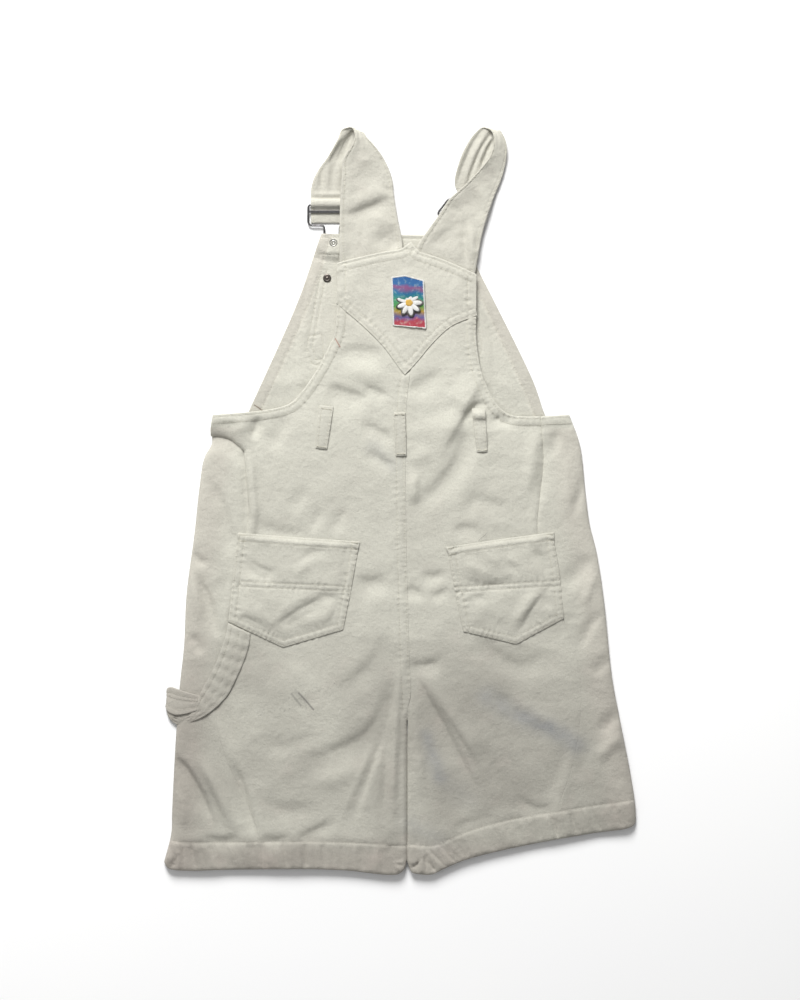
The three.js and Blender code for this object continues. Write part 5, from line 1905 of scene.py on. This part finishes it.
# %% Metal looks
def metal_look(name, colour, dull, roughness):
    look = Look(name)
    worn = look.noise(120, 5, 0.65)
    scratch = look.noise(700, 2)
    tone = look.mix(worn.rise(0.38, 0.62), colour, dull)
    rough = roughness + (worn - 0.5) * 0.35 + (scratch - 0.5) * 0.12
    relief = look.bump(worn * 0.7 + scratch * 0.3, 0.00012, 0.5)
    return look.finish(Base_Color=tone, Metallic=0.95, Roughness=rough, Normal=relief)


STEEL_LOOK = metal_look("dark_steel", rgb(0.20, 0.195, 0.20), rgb(0.10, 0.095, 0.095), 0.34)
NICKEL_LOOK = metal_look("dull_nickel", rgb(0.36, 0.355, 0.33), rgb(0.20, 0.195, 0.18), 0.42)
BRONZE_LOOK = metal_look("dark_bronze", rgb(0.155, 0.135, 0.12), rgb(0.075, 0.068, 0.062), 0.42)


def solid_piece(name, points, faces, material, slot_name, smooth_angle=40):
    """A finished hard piece, which takes the place of the node of its name."""
    mesh = smooth_mesh(name, points, faces, material)
    mesh.validate()
    mesh.set_sharp_from_angle(angle=math.radians(smooth_angle))
    piece = in_scene(name, mesh)
    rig.replaces(piece, name)
    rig.ride(piece, "root")
    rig.slot(piece, slot_name)

# %% Rings of points
def ring_faces(rings, sides, closed=False, start=0):
    """Faces between rings of points that follow each other, facing out when they rise."""
    faces = []
    for i in range(rings if closed else rings - 1):
        a, b = start + i * sides, start + (i + 1) % rings * sides
        faces += [(a + k, a + (k + 1) % sides, b + (k + 1) % sides, b + k) for k in range(sides)]
    return faces

# %% Wire buckles with their sliders
BEND_POINTS = 8
WIRE_SIDES = 14
BAR_SIDES = 20


def rounded_path(corners):
    """A closed path of straight runs and round corners, from (across, along, radius)."""
    path = []
    count = len(corners)
    for i, (cx, cy, radius) in enumerate(corners):
        corner = np.array([cx, cy], float)
        before = np.array(corners[i - 1][:2], float) - corner
        after = np.array(corners[(i + 1) % count][:2], float) - corner
        start = corner + before / np.linalg.norm(before) * radius
        end = corner + after / np.linalg.norm(after) * radius
        for t in np.linspace(0, 1, BEND_POINTS):
            path.append((1 - t) ** 2 * start + 2 * t * (1 - t) * corner + t * t * end)
    return even(np.vstack([path, path[:1]]), 1.0)[:-1]


def tube(path, radius):
    """A closed tube round a closed path of 3-D points."""
    count = len(path)
    way = np.roll(path, -1, axis=0) - np.roll(path, 1, axis=0)
    way /= np.linalg.norm(way, axis=1)[:, None]
    up = np.array([0.0, 0.0, 1.0])
    across = np.cross(up, way)
    across /= np.linalg.norm(across, axis=1)[:, None]
    lift = np.cross(way, across)
    angle = 2 * np.pi * np.arange(WIRE_SIDES) / WIRE_SIDES
    points = path[:, None] + radius * (
        np.cos(angle)[None, :, None] * across[:, None] + np.sin(angle)[None, :, None] * lift[:, None]
    )
    faces = [face[::-1] for face in ring_faces(count, WIRE_SIDES, closed=True)]
    return points.reshape(-1, 3), faces


def slider_plate(half_width, along, width, low, high):
    """A pressed bar with rolled long edges, closed at both ends."""
    profile = []
    for t in np.linspace(0, 2 * np.pi, BAR_SIDES, endpoint=False):
        c, s = np.cos(t), np.sin(t)
        y = along + width / 2 * np.sign(c) * abs(c) ** 0.6
        z = (low + high) / 2 + (high - low) / 2 * np.sign(s) * abs(s) ** 0.6
        profile.append((y, z + (0.45 * abs(c) ** 3 if s > 0 else 0)))
    stations = [
        (-half_width, 0.55), (-half_width + 0.5, 0.92), (-half_width + 1.2, 1), (half_width - 1.2, 1),
        (half_width - 0.5, 0.92), (half_width, 0.55),
    ]
    middle_z = (low + high) / 2
    points = []
    for x, shrink in stations:
        points += [(x, along + (y - along) * shrink, middle_z + (z - middle_z) * shrink) for y, z in profile]
    last = len(points) - BAR_SIDES
    ends = [tuple(range(BAR_SIDES - 1, -1, -1)), tuple(range(last, len(points)))]
    return np.array(points), ring_faces(len(stations), BAR_SIDES) + ends


WIRE = 1.3
KEY_LEFT, KEY_RIGHT, KEY_END = 3 - 9.5, 3 + 9.5, -44
WIRE_CORNERS = [
    (-26.7, 13.4, 6), (26.7, 13.4, 6), (26.7, -13.4, 6), (KEY_RIGHT, -13.4, 4), (KEY_RIGHT, KEY_END, 8),
    (KEY_LEFT, KEY_END, 8), (KEY_LEFT, -13.4, 4), (-26.7, -13.4, 6),
]
for side in BUCKLES:
    flat_path = rounded_path(WIRE_CORNERS)
    path = np.column_stack([flat_path, np.full(len(flat_path), WIRE_Z)])
    points, faces = tube(path, WIRE)
    plate, plate_faces = slider_plate(26.2, 4, 2.9, WIRE_Z - 0.9, WIRE_Z + 0.7)
    faces = faces + [tuple(k + len(points) for k in face) for face in plate_faces]
    points = np.vstack([points, plate])
    turned = np.column_stack([*in_buckle(side, points[:, 0], points[:, 1]), points[:, 2]])
    solid_piece(f"buckle_{side}", turned, faces, STEEL_LOOK, "steel")
    print("buckle", side, "triangles:", sum(len(f) - 2 for f in faces))

# %% Tack backs and rivets
TURNED_SIDES = 36


def turned_shape(profile, place):
    """A turned solid from (radius, height) points, the first and last on the axis."""
    sides = TURNED_SIDES
    points = [(place[0], place[1], profile[0][1])]
    for radius, height in profile[1:-1]:
        for k in range(sides):
            angle = 2 * math.pi * k / sides
            points.append((place[0] + radius * math.cos(angle), place[1] + radius * math.sin(angle), height))
    points.append((place[0], place[1], profile[-1][1]))
    last = len(points) - 1
    rings = len(profile) - 2
    top = 1 + (rings - 1) * sides
    faces = [(0, 1 + (k + 1) % sides, 1 + k) for k in range(sides)]
    faces += ring_faces(rings, sides, start=1)
    faces += [(last, top + k, top + (k + 1) % sides) for k in range(sides)]
    return np.array(points), faces


SEAT = 6.7
BUTTON_PROFILE = [
    (0, 0.35), (2.0, 0.3), (5.5, 0.05), (7.4, 0.0), (8.2, 0.3), (8.5, 0.9), (8.3, 1.5), (7.8, 1.8),
    (1.8, 1.8), (1.8, SEAT), (4.7, SEAT), (5.1, SEAT + 0.25), (5.1, SEAT + 0.6), (4.8, SEAT + 0.95),
    (4.3, SEAT + 1.1), (3.9, SEAT + 1.0), (3.4, SEAT + 0.72), (2.9, SEAT + 0.72), (2.4, SEAT + 1.0),
    (1.7, SEAT + 1.12), (1.2, SEAT + 0.95), (0.8, SEAT + 0.55), (0, SEAT + 0.45),
]
RIVET_SEAT = 3.3
RIVET_PROFILE = [
    (0, 0.05), (1.2, 0.05), (1.4, 0.25), (1.4, RIVET_SEAT), (4.8, RIVET_SEAT), (5.05, RIVET_SEAT + 0.25),
    (4.8, RIVET_SEAT + 0.7), (4.2, RIVET_SEAT + 0.95), (3.4, RIVET_SEAT + 1.0), (2.9, RIVET_SEAT + 0.8),
    (2.0, RIVET_SEAT + 0.62), (1.5, RIVET_SEAT + 0.7), (1.15, RIVET_SEAT + 1.15), (0.6, RIVET_SEAT + 1.3),
    (0, RIVET_SEAT + 1.3),
]
TURNED_SMOOTH = 55
for side in ("left", "right"):
    points, faces = turned_shape(BUTTON_PROFILE, BUTTONS[side])
    solid_piece(f"bib_button_{side}", points, faces, NICKEL_LOOK, "nickel", TURNED_SMOOTH)
    points, faces = turned_shape(RIVET_PROFILE, RIVETS[side])
    solid_piece(f"bib_rivet_{side}", points, faces, BRONZE_LOOK, "bronze", TURNED_SMOOTH)
print("buttons and rivets turned")

# %% [markdown]
# ## Loose ends
# One short end of thread lies on the seat above the right pocket. It is the same tree along a curved
# line, with fine beads set so close that they read as one thread.

# %% Loose thread
loose = through([(98, -51), (101, -47.5), (104, -45.2), (108, -41)], 0.8)
loose_line = np.column_stack([loose, POCKET_HEIGHT["right"](loose[:, 0], loose[:, 1]) + 0.15])
loose_line[:, 2] = np.maximum(loose_line[:, 2], body_height(loose[:, 0], loose[:, 1]) + 0.5)
loose_end = run_tree(
    "loose_thread", [loose_line], STITCHING, OUTLINE_LOOK,
    pitch=0.0006, bead_length=0.0014, thread_radius=0.00022,
)
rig.ride(loose_end, "root")

# %% [markdown]
# ## What each sheet was cut to
# The frame is told the flat size of every sheet of cloth before it was folded, hemmed and laid: the
# share of the area that is turned in for hems and seams is added to what shows.

FLOOR_NAME = "floor"
# no cut takes quite all of its rectangle
WHOLE = 0.999
for node, flat, rests_on, turned_in in (
    ("front_left", (420, 585), [FLOOR_NAME], 0.09),
    ("front_right", (390, 590), [FLOOR_NAME], 0.09),
    ("bib", (430, 270), ["bib_pocket", FLOOR_NAME], 0.14),
    ("bib_pocket", (240, 165), [FLOOR_NAME], 0.10),
    ("back_left", (255, 760), ["front_left", "bib"], 0.09),
    ("back_right", (245, 740), ["front_right", "bib"], 0.09),
    ("back_yoke", (200, 180), ["back_left", "back_right"], 0.20),
    ("pocket_back_left", (185, 165), ["back_left"], 0.20),
    ("pocket_back_right", (170, 165), ["back_right"], 0.20),
    ("hammer_loop", (62, 230), ["back_left", "front_left"], 0.25),
    ("strap_left", (82, 330), ["back_yoke", FLOOR_NAME], 0.15),
    ("strap_right", (82, 350), ["back_yoke", FLOOR_NAME], 0.15),
    ("belt_loop_left", (30, 62), ["back_left"], 0.35),
    ("belt_loop_center", (30, 62), ["back_left"], 0.35),
    ("belt_loop_right", (30, 70), ["back_right"], 0.35),
    ("patch", (42, 64), ["back_yoke"], 0.0),
):
    piece, area = MADE[node]
    cut = area * (1 + turned_in)
    print(node, "cut mm2:", round(cut), "of", flat[0] * flat[1])
    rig.replaces(piece, node)
    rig.ride(piece, "root")
    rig.slot(piece, "twill" if node != "patch" else "patch")
    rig.sheet(
        piece, flat=(flat[0] * MM, flat[1] * MM), held="laid", rests_on=rests_on,
        area=min(cut, WHOLE * flat[0] * flat[1]) * MM**2, with_pieces=[badge_rim] if node == "patch" else [],
    )

# %% [markdown]
# ## Floor, light and camera
# A pale even floor, one large soft light high over the straps and a weaker one from the left fill the
# folds without hard shadows. The camera looks straight down, as over a garment laid on a table.

# %% Stage
floor_look = Look("pale_floor")
pale = floor_look.noise(3, 2).rise(0.2, 0.8)
floor_tone = floor_look.mix(pale, rgb(0.95, 0.95, 0.95), rgb(0.96, 0.96, 0.955))
floor_look.finish(Base_Color=floor_tone, Roughness=0.9, Specular_IOR_Level=0.1)
FLOOR_HALF = 6.0
floor_corners = [(FLOOR_HALF * x, FLOOR_HALF * y, 0) for x, y in ((-1, -1), (1, -1), (1, 1), (-1, 1))]
floor_mesh = bpy.data.meshes.new(FLOOR_NAME)
floor_mesh.from_pydata(floor_corners, [], [(0, 1, 2, 3)])
floor_mesh.materials.append(floor_look.material)
floor = in_scene(FLOOR_NAME, floor_mesh)
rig.stage(floor)


def area_light(name, place, aim, size, power):
    """A round soft light at a place, turned to face another."""
    lamp = bpy.data.lights.new(name, "AREA")
    lamp.shape = "DISK"
    lamp.size = size
    lamp.energy = power
    holder = in_scene(name, lamp)
    holder.location = place
    way = np.array(aim) - np.array(place)
    holder.rotation_euler = (
        math.atan2(math.hypot(way[0], way[1]), -way[2]), 0, math.atan2(way[1], way[0]) - math.pi / 2,
    )


area_light("key", (-0.60, 2.8, 2.0), (0, 0.05, 0), 1.8, 200)
area_light("fill", (-1.6, -0.5, 1.6), (0, 0, 0), 1.4, 5)
world = bpy.data.worlds.new("soft_room")
world.use_nodes = True
background = world.node_tree.nodes["Background"]
background.inputs["Color"].default_value = rgb(1.0, 1.0, 1.0)
background.inputs["Strength"].default_value = 0.31
bpy.context.scene.world = world
bpy.context.scene.view_settings.view_transform = "Standard"

# %% Camera
CAMERA_HEIGHT = 3.0
SEEN_HEIGHT = 1.25
SENSOR = 36
camera_data = bpy.data.cameras.new("overhead")
camera_data.sensor_width = SENSOR
camera_data.lens = SENSOR * CAMERA_HEIGHT / SEEN_HEIGHT
camera = in_scene("overhead", camera_data)
camera.location = (0, 0, CAMERA_HEIGHT)
bpy.context.scene.camera = camera

# %% Sizes, and the frame's own checks
visual_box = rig.bounds()
with open("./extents.json", "w") as sizes:
    json.dump({
        "cad": [[float(v) for v in corner] for corner in cad_box],
        "visual": [[float(v) for v in corner] for corner in visual_box],
    }, sizes)
print("visual box in metres:", [[round(v, 4) for v in corner] for corner in visual_box])
